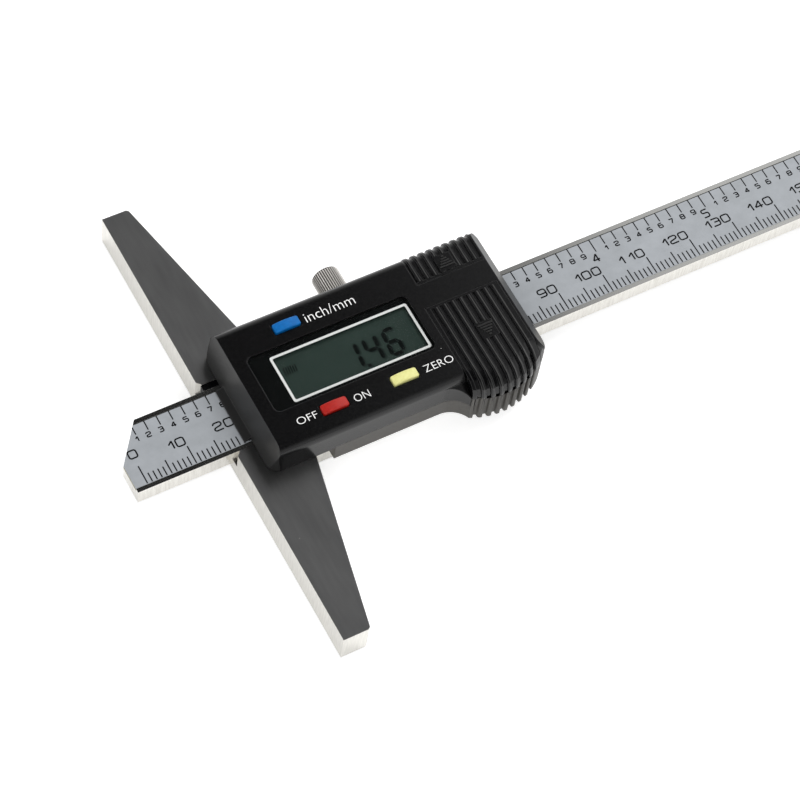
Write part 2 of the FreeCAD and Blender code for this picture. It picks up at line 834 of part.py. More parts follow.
def arrow_pad(name, y):
    """The smooth island among the ribs that carries an arrow."""
    return box(
        name,
        ("arrow_x - arrow_pad_width / 2", "arrow_x + arrow_pad_width / 2"),
        ("(%s) - arrow_pad_height / 2" % y, "(%s) + arrow_pad_height / 2" % y),
        ("shoulder_floor", "top + overrun"),
    )


def battery_cover(outer):
    """The ribbed cover that slides off the grip and carries its sloped shoulder."""
    far = "-grip_y - grip_radius - overrun"
    zone = box(
        "battery_cover_zone",
        ("grip_left", "battery_cover_end"), (far, "battery_cover_edge"), ("fin_top + foot_gap", "top + overrun"),
    )
    blank = overlap("battery_cover_blank", outer, zone)
    inner_round = round_grip("battery_cover_inner", "cover_thick", "foot", "cover_thick", PLAIN_SHOULDER)
    inner_flat = box(
        "battery_cover_flat",
        ("grip_left - overrun", "housing_end"), ("-grip_y", "battery_cover_edge + overrun"), ("foot", "cover_floor"),
    )
    floor_round = round_grip("battery_groove_floor", "groove_depth", "foot", "groove_depth")
    floor_flat = box(
        "battery_groove_flat",
        ("grip_left - overrun", "housing_end"), ("-grip_y", "battery_cover_edge + overrun"),
        ("foot", "top - groove_depth"),
    )
    slots = grooves(
        "battery_groove", -1, 8, (far, "battery_cover_edge - groove_inset"), ("foot", "top + overrun")
    )
    carved = cut("battery_groove_cut", join("battery_grooves", *slots), floor_round, floor_flat,
                 arrow_pad("battery_arrow_pad", "-arrow_low_y"))
    return keep(cut("battery_cover_cut", blank, inner_round, inner_flat, carved), "battery_cover")


def data_cover():
    """The ribbed cover of the data port, on the lock screw's side."""
    zone_y = ("data_cover_edge", "body_half + overrun")
    zone = box(
        "data_cover_zone", ("data_cover_start", "data_cover_end"), zone_y,
        ("seam + data_cover_drop", "top + overrun"),
    )
    bumped = section(
        "data_bump_section", "body_half + bump_reach", "shoulder_radius + bump_reach", "top",
        "data_cover_start - overrun", "data_cover_end",
    )
    floor = section(
        "data_floor_section", "body_half", "shoulder_radius", "top - groove_depth",
        "data_cover_start - overrun", "housing_end",
    )
    inner = section(
        "data_inner_section", "body_half - cover_thick", "shoulder_radius - cover_thick", "cover_floor",
        "data_cover_start - overrun", "housing_end",
    )
    slots = grooves(
        "data_groove", -1, 9, ("data_cover_edge + groove_inset", "body_half + overrun"), ("foot", "top + overrun")
    )
    carved = cut("data_groove_cut", join("data_grooves", *slots), floor,
                 arrow_pad("data_arrow_pad", "arrow_high_y"))
    blank = overlap("data_cover_blank", bumped, zone)
    return keep(cut("data_cover_cut", blank, inner, carved), "data_port_cover")


def lens_outline(gap):
    """The plan of the window with its rounded corners, grown by a gap."""
    left = "lens_left - (%s)" % gap
    right = "lens_right + (%s)" % gap
    half = "lens_half + (%s)" % gap
    return [
        (left, "-(%s) + lens_corner" % half, "lens_corner", 1),
        ("%s + lens_corner" % left, "-(%s)" % half),
        ("%s - lens_corner" % right, "-(%s)" % half, "lens_corner", 1),
        (right, "-(%s) + lens_corner" % half),
        (right, "%s - lens_corner" % half, "lens_corner", 1),
        ("%s - lens_corner" % right, half),
        ("%s + lens_corner" % left, half, "lens_corner", 1),
        (left, "%s - lens_corner" % half),
    ]


def housing_shell(outer):
    """The upper housing: a hollow moulding with its window, button holes and compartments."""
    far = "-grip_y - grip_radius - overrun"
    hollow = prism("main_hollow", "XZ", [
        ("wall_start + wall_thick", "0"),
        ("cavity_end", "0"),
        ("cavity_end", "ceiling"),
        ("wall_start + wall_draft + wall_thick", "ceiling"),
        ("wall_start + wall_thick", "foot"),
    ], "-body_half + wall_thick", "body_half - wall_thick")
    tools = [
        hollow,
        box("seam_cut", ("rail_start - part_gap", "housing_end + overrun"), (far, "body_half + overrun"),
            ("0", "seam")),
        box("keeper_cut_out", ("cavity_end - overrun", "frame_length + part_gap"),
            ("-frame_half - part_gap", "frame_half + part_gap"),
            ("0", "keeper_top + keeper_head_height + part_gap")),
        box("battery_room", ("cell_x - cell_radius - cell_gap", "cell_x + cell_radius + cell_gap"),
            ("-cell_y - cell_radius - cell_gap", "tongue_low"), ("0", "top + overrun")),
        box("port_room", ("cell_x - cell_radius - cell_gap", "cell_x + cell_radius + cell_gap"),
            ("tongue_low + wall_thick", "body_half - wall_thick"), ("0", "ceiling - part_gap")),
        box("port_mouth", ("pad_first - pad_pitch / 2", "tongue_end"),
            ("body_half - wall_thick - part_gap", "body_half + overrun"),
            ("circuit_top + part_gap", "ceiling - part_gap - wall_thick")),
        box("tongue_slot", ("cavity_end - overrun", "tongue_end + part_gap"),
            ("tongue_low - part_gap", "circuit_half + part_gap"), ("0", "circuit_top + part_gap * 2")),
        prism("lens_recess", "XY", lens_outline("slide_gap"), "lens_floor", "top + overrun"),
        box("window_hole", ("window_left", "window_right"),
            ("-window_half - window_middle", "window_half - window_middle"), ("ceiling - overrun", "top")),
    ]
    for name, (x, y) in BUTTONS.items():
        tools.append(box(
            name + "_hole",
            ("%s - button_length / 2 - button_gap" % x, "%s + button_length / 2 + button_gap" % x),
            ("%s - button_width / 2 - button_gap" % y, "%s + button_width / 2 + button_gap" % y),
            ("ceiling - overrun", "top + overrun"),
        ))
    # The room that the battery cover takes, down to what stays under it
    under_round = round_grip(
        "under_battery_round", "cover_thick + part_gap", "0", "cover_thick + part_gap", PLAIN_SHOULDER
    )
    under_flat = box("under_battery_flat", ("0", "housing_end"), ("-grip_y", "body_half"),
                     ("0", "cover_floor - part_gap"))
    inside = box("inside_narrow", ("0", "housing_end"), ("-body_half", "body_half"), ("0", "top"))
    under = overlap("under_battery", join("under_battery_form", under_round, under_flat), inside)
    battery_zone = box(
        "battery_cover_room", ("grip_left - part_gap", "battery_cover_end + part_gap"),
        (far, "battery_cover_edge + part_gap"), ("foot", "top + overrun"),
    )
    tools.append(cut("battery_cover_space", battery_zone, under))
    under_data = section(
        "under_data", "body_half - cover_thick - part_gap", "shoulder_radius - cover_thick - part_gap",
        "cover_floor - part_gap", "0", "housing_end",
    )
    data_zone = box(
        "data_cover_room", ("data_cover_start - part_gap", "data_cover_end + part_gap"),
        ("data_cover_edge - part_gap", "body_half + overrun"),
        ("seam + data_cover_drop - part_gap", "top + overrun"),
    )
    tools.append(cut("data_cover_space", data_zone, under_data))
    tools.append(cylinder("neck_notch", "lock_x", "frame_half", "beam_middle",
                          "lock_shank_radius + lock_neck_gap", "body_half", "+Y"))
    shell = cut("hollow_shell", outer, *tools)
    bosses = [rod(
        "housing_boss_%d" % number, x, y, "foot", "boss_radius", "ceiling - foot + foot_gap",
    ) for number, (x, y) in enumerate(HOUSING_SCREWS)]
    bosses += [rod(
        "board_boss_%d" % number, "board_screw_x", y, "circuit_top + slide_gap", "board_boss_radius",
        "ceiling - circuit_top",
    ) for number, y in enumerate(BOARD_SCREWS)]
    bores = [rod(
        "boss_bore_%d" % number, x, y, "0", "housing_screw_radius + slide_gap",
        "housing_head_sink + housing_head_height + housing_screw_length + part_gap",
    ) for number, (x, y) in enumerate(HOUSING_SCREWS)]
    bores += [rod(
        "board_bore_%d" % number, "board_screw_x", y, "0", "board_screw_radius + slide_gap",
        "circuit_floor + board_screw_length + part_gap",
    ) for number, y in enumerate(BOARD_SCREWS)]
    return keep(cut("drilled_shell", join("bossed_shell", shell, *bosses), *bores), "housing_top")


def side_rails():
    """The two lower mouldings that close the sides; the lower one carries the fins of the grip."""
    outer_y = "-grip_y - grip_radius - overrun"
    strip = box("low_strip", ("rail_start", "housing_end"), ("-body_half", "-rail_inner"), ("slot_floor", "rail_top"))
    end_low = box("low_end", ("frame_length + part_gap", "housing_end"), ("-body_half", "-beam_half - cell_gap"),
                  ("slot_floor", "rail_top"))
    drum = cylinder("fin_drum", "grip_x", "-grip_y", "slot_floor", "grip_radius", "fin_top - slot_floor")
    low_block = overlap("low_block", drum, box(
        "low_block_limit", ("grip_left", "housing_end"), (outer_y, "-rail_inner"), ("slot_floor", "rail_top"),
    ))
    high_block = overlap("high_block", drum, box(
        "high_block_limit", ("grip_left", "battery_cover_end"), (outer_y, "-body_half - part_gap"),
        ("slot_floor", "fin_top"),
    ))
    web = prism("low_web", "XY", web_outline("grip_left + wall_thick / 2"), "slot_floor", "rail_top")
    blank = join("low_rail_blank", strip, end_low, low_block, high_block, web)
    core = cylinder("fin_core", "grip_x", "-grip_y", "0", "grip_radius - fin_depth", "top")
    slots = grooves("fin_groove", -1, 8, (outer_y, "-body_half"), ("0", "top"))
    carved = cut("fin_groove_cut", join("fin_grooves", *slots), core)
    frame_room = box("frame_room", ("0", "frame_length + part_gap"), ("-rail_inner", "rail_inner"), ("0", "top"))
    cornered = overlap("low_rail_corner", blank, corner_limit("low_corner", "slot_floor", "top"))
    keep(cut("low_rail_cut", cornered, carved, frame_room), "side_rail_lower")
    high_strip = box(
        "high_strip", ("rail_start", "housing_end"), ("rail_inner", "body_half"), ("slot_floor", "rail_top")
    )
    end_high = box("high_end", ("frame_length + part_gap", "housing_end"), ("beam_half + cell_gap", "body_half"),
                   ("slot_floor", "rail_top"))
    notch = box(
        "lock_notch",
        (
            "lock_x - lock_shank_radius - lock_neck_gap",
            "lock_x + lock_shank_radius + lock_neck_gap",
        ),
        ("0", "body_half + overrun"), ("0", "rail_top + overrun"),
    )
    plan = prism("rear_corner", "XY", [
        ("0", "0"),
        ("housing_end", "0"),
        ("housing_end", "body_half - rear_radius", "rear_radius", 1),
        ("housing_end - rear_radius", "body_half"),
        ("0", "body_half"),
    ], "0", "top")
    high = overlap("high_rail_blank", join("high_rail_form", high_strip, end_high), plan)
    keep(cut("high_rail_cut", high, notch), "side_rail_upper")


def display_parts():
    """The window, the display glass, its holder and the two rubber connector strips."""
    keep(prism("lens", "XY", lens_outline("0"), "lens_floor + slide_gap", "lens_top"), "window_lens")
    middle = "-window_middle"
    glass_y = (middle + " - display_half", middle + " + display_half")
    keep(box(
        "glass", ("display_left", "display_right"), glass_y, ("display_floor", "display_top")
    ), "display_glass")
    frame = box(
        "holder_block",
        ("display_left - holder_wall", "display_right + holder_wall"),
        (middle + " - display_half - holder_wall", middle + " + display_half + holder_wall"),
        ("circuit_top + slide_gap", "display_top - part_gap"),
    )
    pocket = box(
        "holder_pocket",
        ("display_left - slide_gap", "display_right + slide_gap"),
        (middle + " - display_half - slide_gap", middle + " + display_half + slide_gap"),
        ("display_floor - slide_gap", "top"),
    )
    well = box(
        "holder_well",
        ("display_left + holder_wall", "display_right - holder_wall"),
        (middle + " - display_half + zebra_inset", middle + " + display_half - zebra_inset"),
        ("0", "top"),
    )
    keep(cut("holder_cut", frame, pocket, well), "display_holder")
    strips = []
    for number, sign in enumerate("-+"):
        near = "%s %s (display_half - zebra_inset - slide_gap)" % (middle, sign)
        far = "%s %s (display_half - zebra_inset - slide_gap - zebra_width)" % (middle, sign)
        ends = (near, far) if sign == "-" else (far, near)
        strips.append(box(
            "zebra_%d" % number,
            ("display_left + holder_wall + slide_gap", "display_right - holder_wall - slide_gap"),
            ends, ("circuit_top", "display_floor"),
        ))
    keep(group("zebra_pair", *strips), "zebra_strips")


def circuit_parts():
    """The circuit board with its chip, contact pads, snap domes and screws."""
    blank = prism("circuit_blank", "XY", [
        ("circuit_left", "-circuit_half"),
        ("circuit_right", "-circuit_half"),
        ("circuit_right", "tongue_low"),
        ("tongue_end", "tongue_low"),
        ("tongue_end", "circuit_half"),
        ("circuit_left", "circuit_half"),
    ], "circuit_floor", "circuit_top")
    holes = [rod(
        "board_notch_%d" % number, x, y, "0", "boss_radius + part_gap * 2", "top",
    ) for number, (x, y) in enumerate(HOUSING_SCREWS)]
    screws = []
    for number, y in enumerate(BOARD_SCREWS):
        holes.append(rod(
            "board_hole_%d" % number, "board_screw_x", y, "0", "board_screw_radius + part_gap", "top"
        ))
        holes.append(rod(
            "board_sink_%d" % number, "board_screw_x", y, "0",
            "board_head_radius + part_gap", "circuit_floor + board_head_height + slide_gap",
        ))
        head = rod(
            "board_head_%d" % number, "board_screw_x", y, "circuit_floor",
            "board_head_radius", "board_head_height",
        )
        shank = rod(
            "board_shank_%d" % number, "board_screw_x", y, "circuit_floor",
            "board_screw_radius", "board_screw_length",
        )
        screws.append(join("board_screw_%d" % number, head, shank))
    keep(cut("circuit_cut", blank, *holes), "circuit_board")
    keep(group("board_screw_pair", *screws), "board_screws")
    keep(rod(
        "chip", "chip_x", "-window_middle", "circuit_top", "chip_radius", "chip_height"
    ), "chip_cover")
    pads = [box(
        "pad_%d" % number,
        ("pad_first + pad_pitch * %d" % number, "pad_first + pad_pitch * %d + pad_width" % number),
        ("circuit_half - pad_length", "circuit_half"),
        ("circuit_top", "circuit_top + pad_thick"),
    ) for number in range(4)]
    keep(group("pad_row", *pads), "data_port_pads")
    domes = [rod(
        name + "_dome", x, y, "circuit_top", "dome_radius", "dome_height", sides=8
    ) for name, (x, y) in BUTTONS.items()]
    keep(group("dome_set", *domes), "snap_domes")


def buttons():
    """The three push buttons: a crowned cap, a flange under the ceiling and a stem."""
    for name, (x, y) in BUTTONS.items():
        block = prism(name + "_block", "XZ", [
            ("%s - button_length / 2" % x, "flange_top - flange_height / 2"),
            ("%s + button_length / 2" % x, "flange_top - flange_height / 2"),
            ("%s + button_length / 2" % x, "top + button_rise - button_crown", "crown_radius", 1),
            ("%s - button_length / 2" % x, "top + button_rise - button_crown"),
        ], "%s - button_width / 2" % y, "%s + button_width / 2" % y)
        corners = rounded(name + "_corners", block, "button_corner", upright)
        cap = rounded(name + "_cap", corners, "button_edge", above("top + button_rise - button_crown"))
        flange = box(
            name + "_flange",
            ("%s - button_length / 2 - flange_margin" % x, "%s + button_length / 2 + flange_margin" % x),
            ("%s - button_width / 2 - flange_margin" % y, "%s + button_width / 2 + flange_margin" % y),
            ("flange_top - flange_height", "flange_top"),
        )
        stem = rod(
            name + "_stem", x, y, "stem_floor", "stem_radius", "flange_top - flange_height / 2 - stem_floor"
        )
        keep(join(name + "_body", cap, flange, stem), name)


def battery_parts():
    """The coin cell on its tray, with the contacts below and beside it."""
    can = rod("cell_can", "cell_x", "-cell_y", "cell_floor + cap_height", "cell_radius",
              "cell_height - cap_height", sides=30)
    cap = rod("cell_cap", "cell_x", "-cell_y", "cell_floor", "cap_radius", "cap_height * 2", sides=30)
    keep(join("cell", can, cap), "battery_cell")
    keep(box(
        "tray",
        ("cell_x - cell_radius - tray_margin", "rear_keeper_x - part_gap"),
        ("-cell_y - cap_radius", "tongue_low - part_gap * 2"),
        ("foot", "tray_top"),
    ), "battery_tray")
    keep(box(
        "contact_strip",
        ("cell_x - cap_radius", "cell_x + cap_radius"),
        ("-cell_y - contact_width / 2", "-cell_y + contact_width / 2"),
        ("tray_top", "tray_top + contact_thick"),
    ), "contact_negative")
    leaf_x = ("cell_x - contact_width / 2", "cell_x + contact_width / 2")
    leaf_y = "cell_back + part_gap"
    leaf = box(
        "contact_leaf", leaf_x, (leaf_y, "(%s) + contact_thick" % leaf_y),
        ("circuit_top", "circuit_top + contact_rise"),
    )
    foot = box(
        "contact_foot_strip", leaf_x, (leaf_y, "(%s) + contact_foot + contact_thick" % leaf_y),
        ("circuit_top", "circuit_top + contact_thick"),
    )
    keep(join("contact_bent", leaf, foot), "contact_positive")


def back_screws():
    """The four screws that come through the frame and hold the housing."""
    screws = []
    for number, (x, y) in enumerate(HOUSING_SCREWS):
        head = rod(
            "housing_head_%d" % number, x, y, "housing_head_sink",
            "housing_head_radius", "housing_head_height", sides=20,
        )
        shank = rod(
            "housing_shank_%d" % number, x, y, "housing_head_sink + housing_head_height / 2",
            "housing_screw_radius", "housing_head_height / 2 + housing_screw_length",
        )
        cross = [box(
            "housing_cross_%d_%d" % (number, turn),
            ("%s - (%s) / 2" % (x, wide), "%s + (%s) / 2" % (x, wide)),
            ("%s - (%s) / 2" % (y, deep), "%s + (%s) / 2" % (y, deep)),
            ("0", "housing_head_sink + screw_cross_depth"),
        ) for turn, (wide, deep) in enumerate((
            ("screw_cross_width", "screw_cross_length"), ("screw_cross_length", "screw_cross_width"),
        ))]
        screws.append(cut("housing_screw_%d" % number, join("housing_pin_%d" % number, head, shank), *cross))
    keep(group("housing_screw_set", *screws), "housing_screws")


base_frame()
beam_parts()
gib_parts()
lock_parts()
keepers()
whole = outer_form()
housing_shell(whole)
battery_cover(whole)
data_cover()
side_rails()
display_parts()
circuit_parts()
buttons()
battery_parts()
back_screws()
doc.recompute()

for thing in doc.Objects:
    if {"Invalid", "Error"} & set(thing.State):
        raise RuntimeError("%s did not recompute: %s" % (thing.Name, thing.State))
for part in PARTS:
    if part.Shape.isNull() or not part.Shape.isValid() or not part.Shape.Solids:
        raise RuntimeError("%s has no valid solid" % part.Label)

os.makedirs("parts", exist_ok=True)
for part in PARTS:
    part.Shape.exportStep("parts/%s.step" % part.Label)
    print(part.Label, len(part.Shape.Solids), round(part.Shape.Volume, 2))
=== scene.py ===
import json
import math

import bmesh
import bpy
from mathutils import Matrix, Vector


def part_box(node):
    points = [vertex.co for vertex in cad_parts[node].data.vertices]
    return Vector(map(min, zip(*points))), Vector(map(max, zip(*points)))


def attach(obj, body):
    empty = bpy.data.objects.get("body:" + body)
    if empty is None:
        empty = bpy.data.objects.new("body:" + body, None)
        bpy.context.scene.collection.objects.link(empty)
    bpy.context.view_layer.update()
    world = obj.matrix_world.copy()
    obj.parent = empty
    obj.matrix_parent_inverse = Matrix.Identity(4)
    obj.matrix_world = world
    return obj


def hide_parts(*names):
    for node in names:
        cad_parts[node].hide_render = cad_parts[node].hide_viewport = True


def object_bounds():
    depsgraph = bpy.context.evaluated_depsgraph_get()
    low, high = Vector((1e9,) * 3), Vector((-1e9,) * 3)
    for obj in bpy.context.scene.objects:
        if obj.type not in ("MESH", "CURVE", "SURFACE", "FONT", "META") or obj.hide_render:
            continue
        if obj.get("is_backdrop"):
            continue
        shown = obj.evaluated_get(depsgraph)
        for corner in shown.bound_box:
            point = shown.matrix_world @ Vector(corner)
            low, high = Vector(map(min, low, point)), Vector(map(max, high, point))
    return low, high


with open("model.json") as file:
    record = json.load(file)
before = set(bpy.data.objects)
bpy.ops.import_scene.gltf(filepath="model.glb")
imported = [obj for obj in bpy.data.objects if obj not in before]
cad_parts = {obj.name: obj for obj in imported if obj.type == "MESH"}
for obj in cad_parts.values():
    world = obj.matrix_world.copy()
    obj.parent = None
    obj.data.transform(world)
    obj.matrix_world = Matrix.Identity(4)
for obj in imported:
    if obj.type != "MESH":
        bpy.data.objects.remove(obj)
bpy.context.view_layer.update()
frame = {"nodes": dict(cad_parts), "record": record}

# Digital depth gauge, 150 mm, lying on its back with the display up. Metres, in the CAD frame:
# the origin is on the measuring face, +X runs away from the measuring tip, +Z out of the display.
MM = 0.001
CAD = frame["nodes"]


# ---------------- laying down nodes

def add(tree, kind, sockets=None, **settings):
    """Add a node, set it up, and fill or link its sockets."""
    made = tree.nodes.new(kind)
    for name, setting in settings.items():
        setattr(made, name, setting)
    for name, source in (sockets or {}).items():
        if isinstance(source, bpy.types.NodeSocket):
            tree.links.new(source, made.inputs[name])
        else:
            made.inputs[name].default_value = source
    return made


def calc(tree, operation, *terms, clamp=False):
    """One step of arithmetic."""
    return add(tree, "ShaderNodeMath", dict(enumerate(terms)), operation=operation, use_clamp=clamp).outputs[0]


def blend(tree, share, first, second):
    """A mix of two colours."""
    return add(tree, "ShaderNodeMix", {0: share, 6: first, 7: second}, data_type="RGBA").outputs[2]


def between(tree, share, low, high, start=0.0, end=1.0):
    """A number that runs from low to high as the share goes from start to end."""
    return add(tree, "ShaderNodeMapRange", {0: share, 1: start, 2: end, 3: low, 4: high}).outputs[0]


def object_space(tree):
    """The place of a surface point on its own piece."""
    return add(tree, "ShaderNodeTexCoord").outputs["Object"]


def axes_of(tree, vector):
    """The three parts of a vector."""
    return add(tree, "ShaderNodeSeparateXYZ", {0: vector}).outputs


def vector_step(tree, operation, *terms):
    """One step of vector arithmetic."""
    return add(tree, "ShaderNodeVectorMath", dict(enumerate(terms)), operation=operation)


def new_group(name, kind, inputs, outputs):
    """An empty node group with its named inputs and outputs."""
    tree = bpy.data.node_groups.new(name, kind)
    for title, socket, default in inputs:
        made = tree.interface.new_socket(name=title, in_out="INPUT", socket_type=socket)
        if default is not None:
            made.default_value = default
    for title, socket in outputs:
        tree.interface.new_socket(name=title, in_out="OUTPUT", socket_type=socket)
    return tree, add(tree, "NodeGroupInput"), add(tree, "NodeGroupOutput")


def tone(red, green, blue):
    """A colour as it is read off a screen, 0 to 255, made linear."""
    linear = [((c / 255 + 0.055) / 1.055) ** 2.4 if c > 10 else c / 255 / 12.92 for c in (red, green, blue)]
    return (*linear, 1.0)


# ---------------- shared surface effects

# How sharply an edge shows, how much of it the mask keeps at least, and how far the patches reach
EDGE_GAIN = 3.4
LEAST_EDGE_SHARE = 0.15
PATCH_REACH = 2.0


def worn_edges():
    """Rounded edges in the shading, and a patchy mask of the edges, which take rubbed wear on most surfaces
    and a painted highlight on some.
    """
    tree, given, result = new_group("worn_edges", "ShaderNodeTree", [
        ("Radius", "NodeSocketFloat", 0.0002),
        ("Breakup", "NodeSocketFloat", 0.5),
        ("Breakup Scale", "NodeSocketFloat", 900.0),
    ], [("Mask", "NodeSocketFloat"), ("Normal", "NodeSocketVector")])
    soft = add(tree, "ShaderNodeBevel", {"Radius": given.outputs["Radius"]}, samples=6)
    hard = add(tree, "ShaderNodeNewGeometry")
    facing = vector_step(tree, "DOT_PRODUCT", soft.outputs[0], hard.outputs["Normal"]).outputs["Value"]
    edge = calc(tree, "MULTIPLY", calc(tree, "SUBTRACT", 1.0, facing), EDGE_GAIN, clamp=True)
    patches = add(tree, "ShaderNodeTexNoise", {
        "Vector": object_space(tree), "Scale": given.outputs["Breakup Scale"], "Detail": 3.0,
    }).outputs[0]
    gaps = calc(tree, "MULTIPLY", between(tree, patches, 0.0, PATCH_REACH), given.outputs["Breakup"])
    kept = calc(tree, "SUBTRACT", 1.0, gaps, clamp=True)
    mask = calc(tree, "MULTIPLY", edge, calc(tree, "ADD", kept, LEAST_EDGE_SHARE), clamp=True)
    tree.links.new(mask, result.inputs["Mask"])
    tree.links.new(soft.outputs[0], result.inputs["Normal"])
    return tree


def grain():
    """Stretched noise: ground lines on steel, and the fine texture of a moulding tool on plastic."""
    tree, given, result = new_group("grain", "ShaderNodeTree", [
        ("Stretch", "NodeSocketVector", (1000.0, 1000.0, 1000.0)),
        ("Detail", "NodeSocketFloat", 3.0),
        ("Contrast", "NodeSocketFloat", 1.5),
    ], [("Value", "NodeSocketFloat")])
    placed = vector_step(tree, "MULTIPLY", object_space(tree), given.outputs["Stretch"])
    noise = add(tree, "ShaderNodeTexNoise", {
        "Vector": placed.outputs[0], "Scale": 1.0, "Detail": given.outputs["Detail"],
    }).outputs[0]
    centred = calc(tree, "SUBTRACT", noise, 0.5)
    value = calc(tree, "ADD", calc(tree, "MULTIPLY", centred, given.outputs["Contrast"]), 0.5, clamp=True)
    tree.links.new(value, result.inputs["Value"])
    return tree


def dust():
    """A few pale specks, as on the gauge in the photograph."""
    tree, given, result = new_group("dust", "ShaderNodeTree", [
        ("Spacing", "NodeSocketFloat", 420.0),
        ("Size", "NodeSocketFloat", 0.035),
        ("Rarity", "NodeSocketFloat", 0.9),
    ], [("Mask", "NodeSocketFloat")])
    cells = add(tree, "ShaderNodeTexVoronoi", {
        "Vector": object_space(tree), "Scale": given.outputs["Spacing"],
    })
    pick = add(tree, "ShaderNodeSeparateColor", {0: cells.outputs["Color"]}).outputs[0]
    chosen = calc(tree, "GREATER_THAN", pick, given.outputs["Rarity"])
    near = calc(tree, "LESS_THAN", cells.outputs["Distance"], given.outputs["Size"])
    tree.links.new(calc(tree, "MULTIPLY", chosen, near), result.inputs["Mask"])
    return tree


EDGE_WEAR_AND_SHEEN = worn_edges()
GRAIN = grain()
DUST = dust()


def place_group(tree, group, values):
    """Place a group and fill its inputs, which exist only once the group is set."""
    made = tree.nodes.new("ShaderNodeGroup")
    made.node_tree = group
    for name, value in values.items():
        made.inputs[name].default_value = value
    return made


def grain_of(tree, stretch, detail=3.0, contrast=2.0):
    """The value of a grain group."""
    return place_group(tree, GRAIN, {"Stretch": stretch, "Detail": detail, "Contrast": contrast}).outputs[0]


# ---------------- materials

def shader_of(material):
    """A material's node tree and its shader."""
    return material.node_tree, material.node_tree.nodes["Principled BSDF"]


def new_material(name):
    """A new material, its node tree and its shader."""
    made = bpy.data.materials.new(name)
    made.use_nodes = True
    return made, *shader_of(made)


DUST_TONE = tone(205, 205, 200)
DUST_ROUGHNESS = 0.8
# How much the second set of grain lines weighs beside the first
CROSS_SHARE = 0.4


def finish(
    name, dark, light, rough, stretch, metal=0.0, bump=0.02, depth=2e-6, radius=0.15, worn=None, wear=0.5,
    specks=0.0, detail=3.0, contrast=1.6, cross=None, **sockets
):
    """A surface with grain in colour, gloss and bump, softened edges that show wear and, on some surfaces, a
    painted highlight, and dust.

    dark and light are the two tones of the grain, 0 to 255, rough its two roughnesses, stretch how
    many grains there are in a metre along each axis, cross the same for a second set of lines, and
    the edge tone the tone that edges take: rubbed wear on most surfaces, a painted highlight on the
    buttons, the covers and the arrow bars.
    """
    made, tree, shader = new_material(name)
    edges = place_group(tree, EDGE_WEAR_AND_SHEEN, {"Radius": radius * MM, "Breakup": 1.0 - wear * 0.5})
    fine = grain_of(tree, stretch, detail, contrast)
    if cross:
        other = calc(tree, "MULTIPLY", grain_of(tree, cross, detail=2.0, contrast=2.4), CROSS_SHARE)
        fine = calc(tree, "ADD", calc(tree, "MULTIPLY", fine, 1.0 - CROSS_SHARE), other)
    colour = blend(tree, fine, tone(*dark), tone(*light))
    # Edges take the edge tone: rubbed wear on most surfaces, a painted highlight on the buttons, the covers
    # and the arrow bars
    if worn:
        share = calc(tree, "MULTIPLY", edges.outputs["Mask"], wear)
        colour = blend(tree, share, colour, tone(*worn))
    roughness = between(tree, fine, *rough)
    if specks:
        mask = place_group(tree, DUST, {"Rarity": 1.0 - specks}).outputs[0]
        colour = blend(tree, mask, colour, DUST_TONE)
        roughness = between(tree, mask, roughness, DUST_ROUGHNESS)
        if metal:
            tree.links.new(between(tree, mask, metal, 0.0), shader.inputs["Metallic"])
    height = add(tree, "ShaderNodeBump", {
        "Strength": bump, "Distance": depth, "Height": fine, "Normal": edges.outputs["Normal"],
    }).outputs[0]
    shader.inputs["Metallic"].default_value = metal
    for socket, number in sockets.items():
        shader.inputs[socket.replace("_", " ")].default_value = number
    tree.links.new(colour, shader.inputs["Base Color"])
    tree.links.new(roughness, shader.inputs["Roughness"])
    tree.links.new(height, shader.inputs["Normal"])
    return made


LEVEL_NORMAL = 0.7
SIDE_LINES = (2600.0, 2600.0, 260.0)


def two_way_steel(name, top, side, rough, stretch, cross, radius):
    """Ground steel with finer grain on its faces up and down and coarse ground lines on its sides, the faces
    painted darker as shade and the sides brighter as the floor's reflection.
    """
    made = finish(name, *top, rough, stretch, metal=1.0, bump=0.15, depth=3e-6, radius=radius,
                  worn=(228, 227, 224), wear=0.6, specks=0.04, detail=4.0, contrast=1.2, cross=cross)
    tree, shader = shader_of(made)
    face_shade_colour = shader.inputs["Base Color"].links[0].from_socket
    facing = add(tree, "ShaderNodeNewGeometry").outputs["Normal"]
    upward = calc(tree, "ABSOLUTE", axes_of(tree, facing)[2])
    flat = calc(tree, "GREATER_THAN", upward, LEVEL_NORMAL)
    # The sides' brighter tones are the floor's painted reflection, the faces' darker tones painted shade
    side_sheen_colour = blend(tree, grain_of(tree, SIDE_LINES), *(tone(*read) for read in side))
    tree.links.new(blend(tree, flat, side_sheen_colour, face_shade_colour), shader.inputs["Base Color"])
    return made


# How far inside the head's outer circle the painted shade of the knurl's grooves ends, its ridges take the
# full nickel tone and its face begins
GROOVE_FOOT, RIDGE_TOP, FACE_EDGE = 0.27, 0.06, 0.5
GROOVE_SHADE = tone(44, 40, 37)


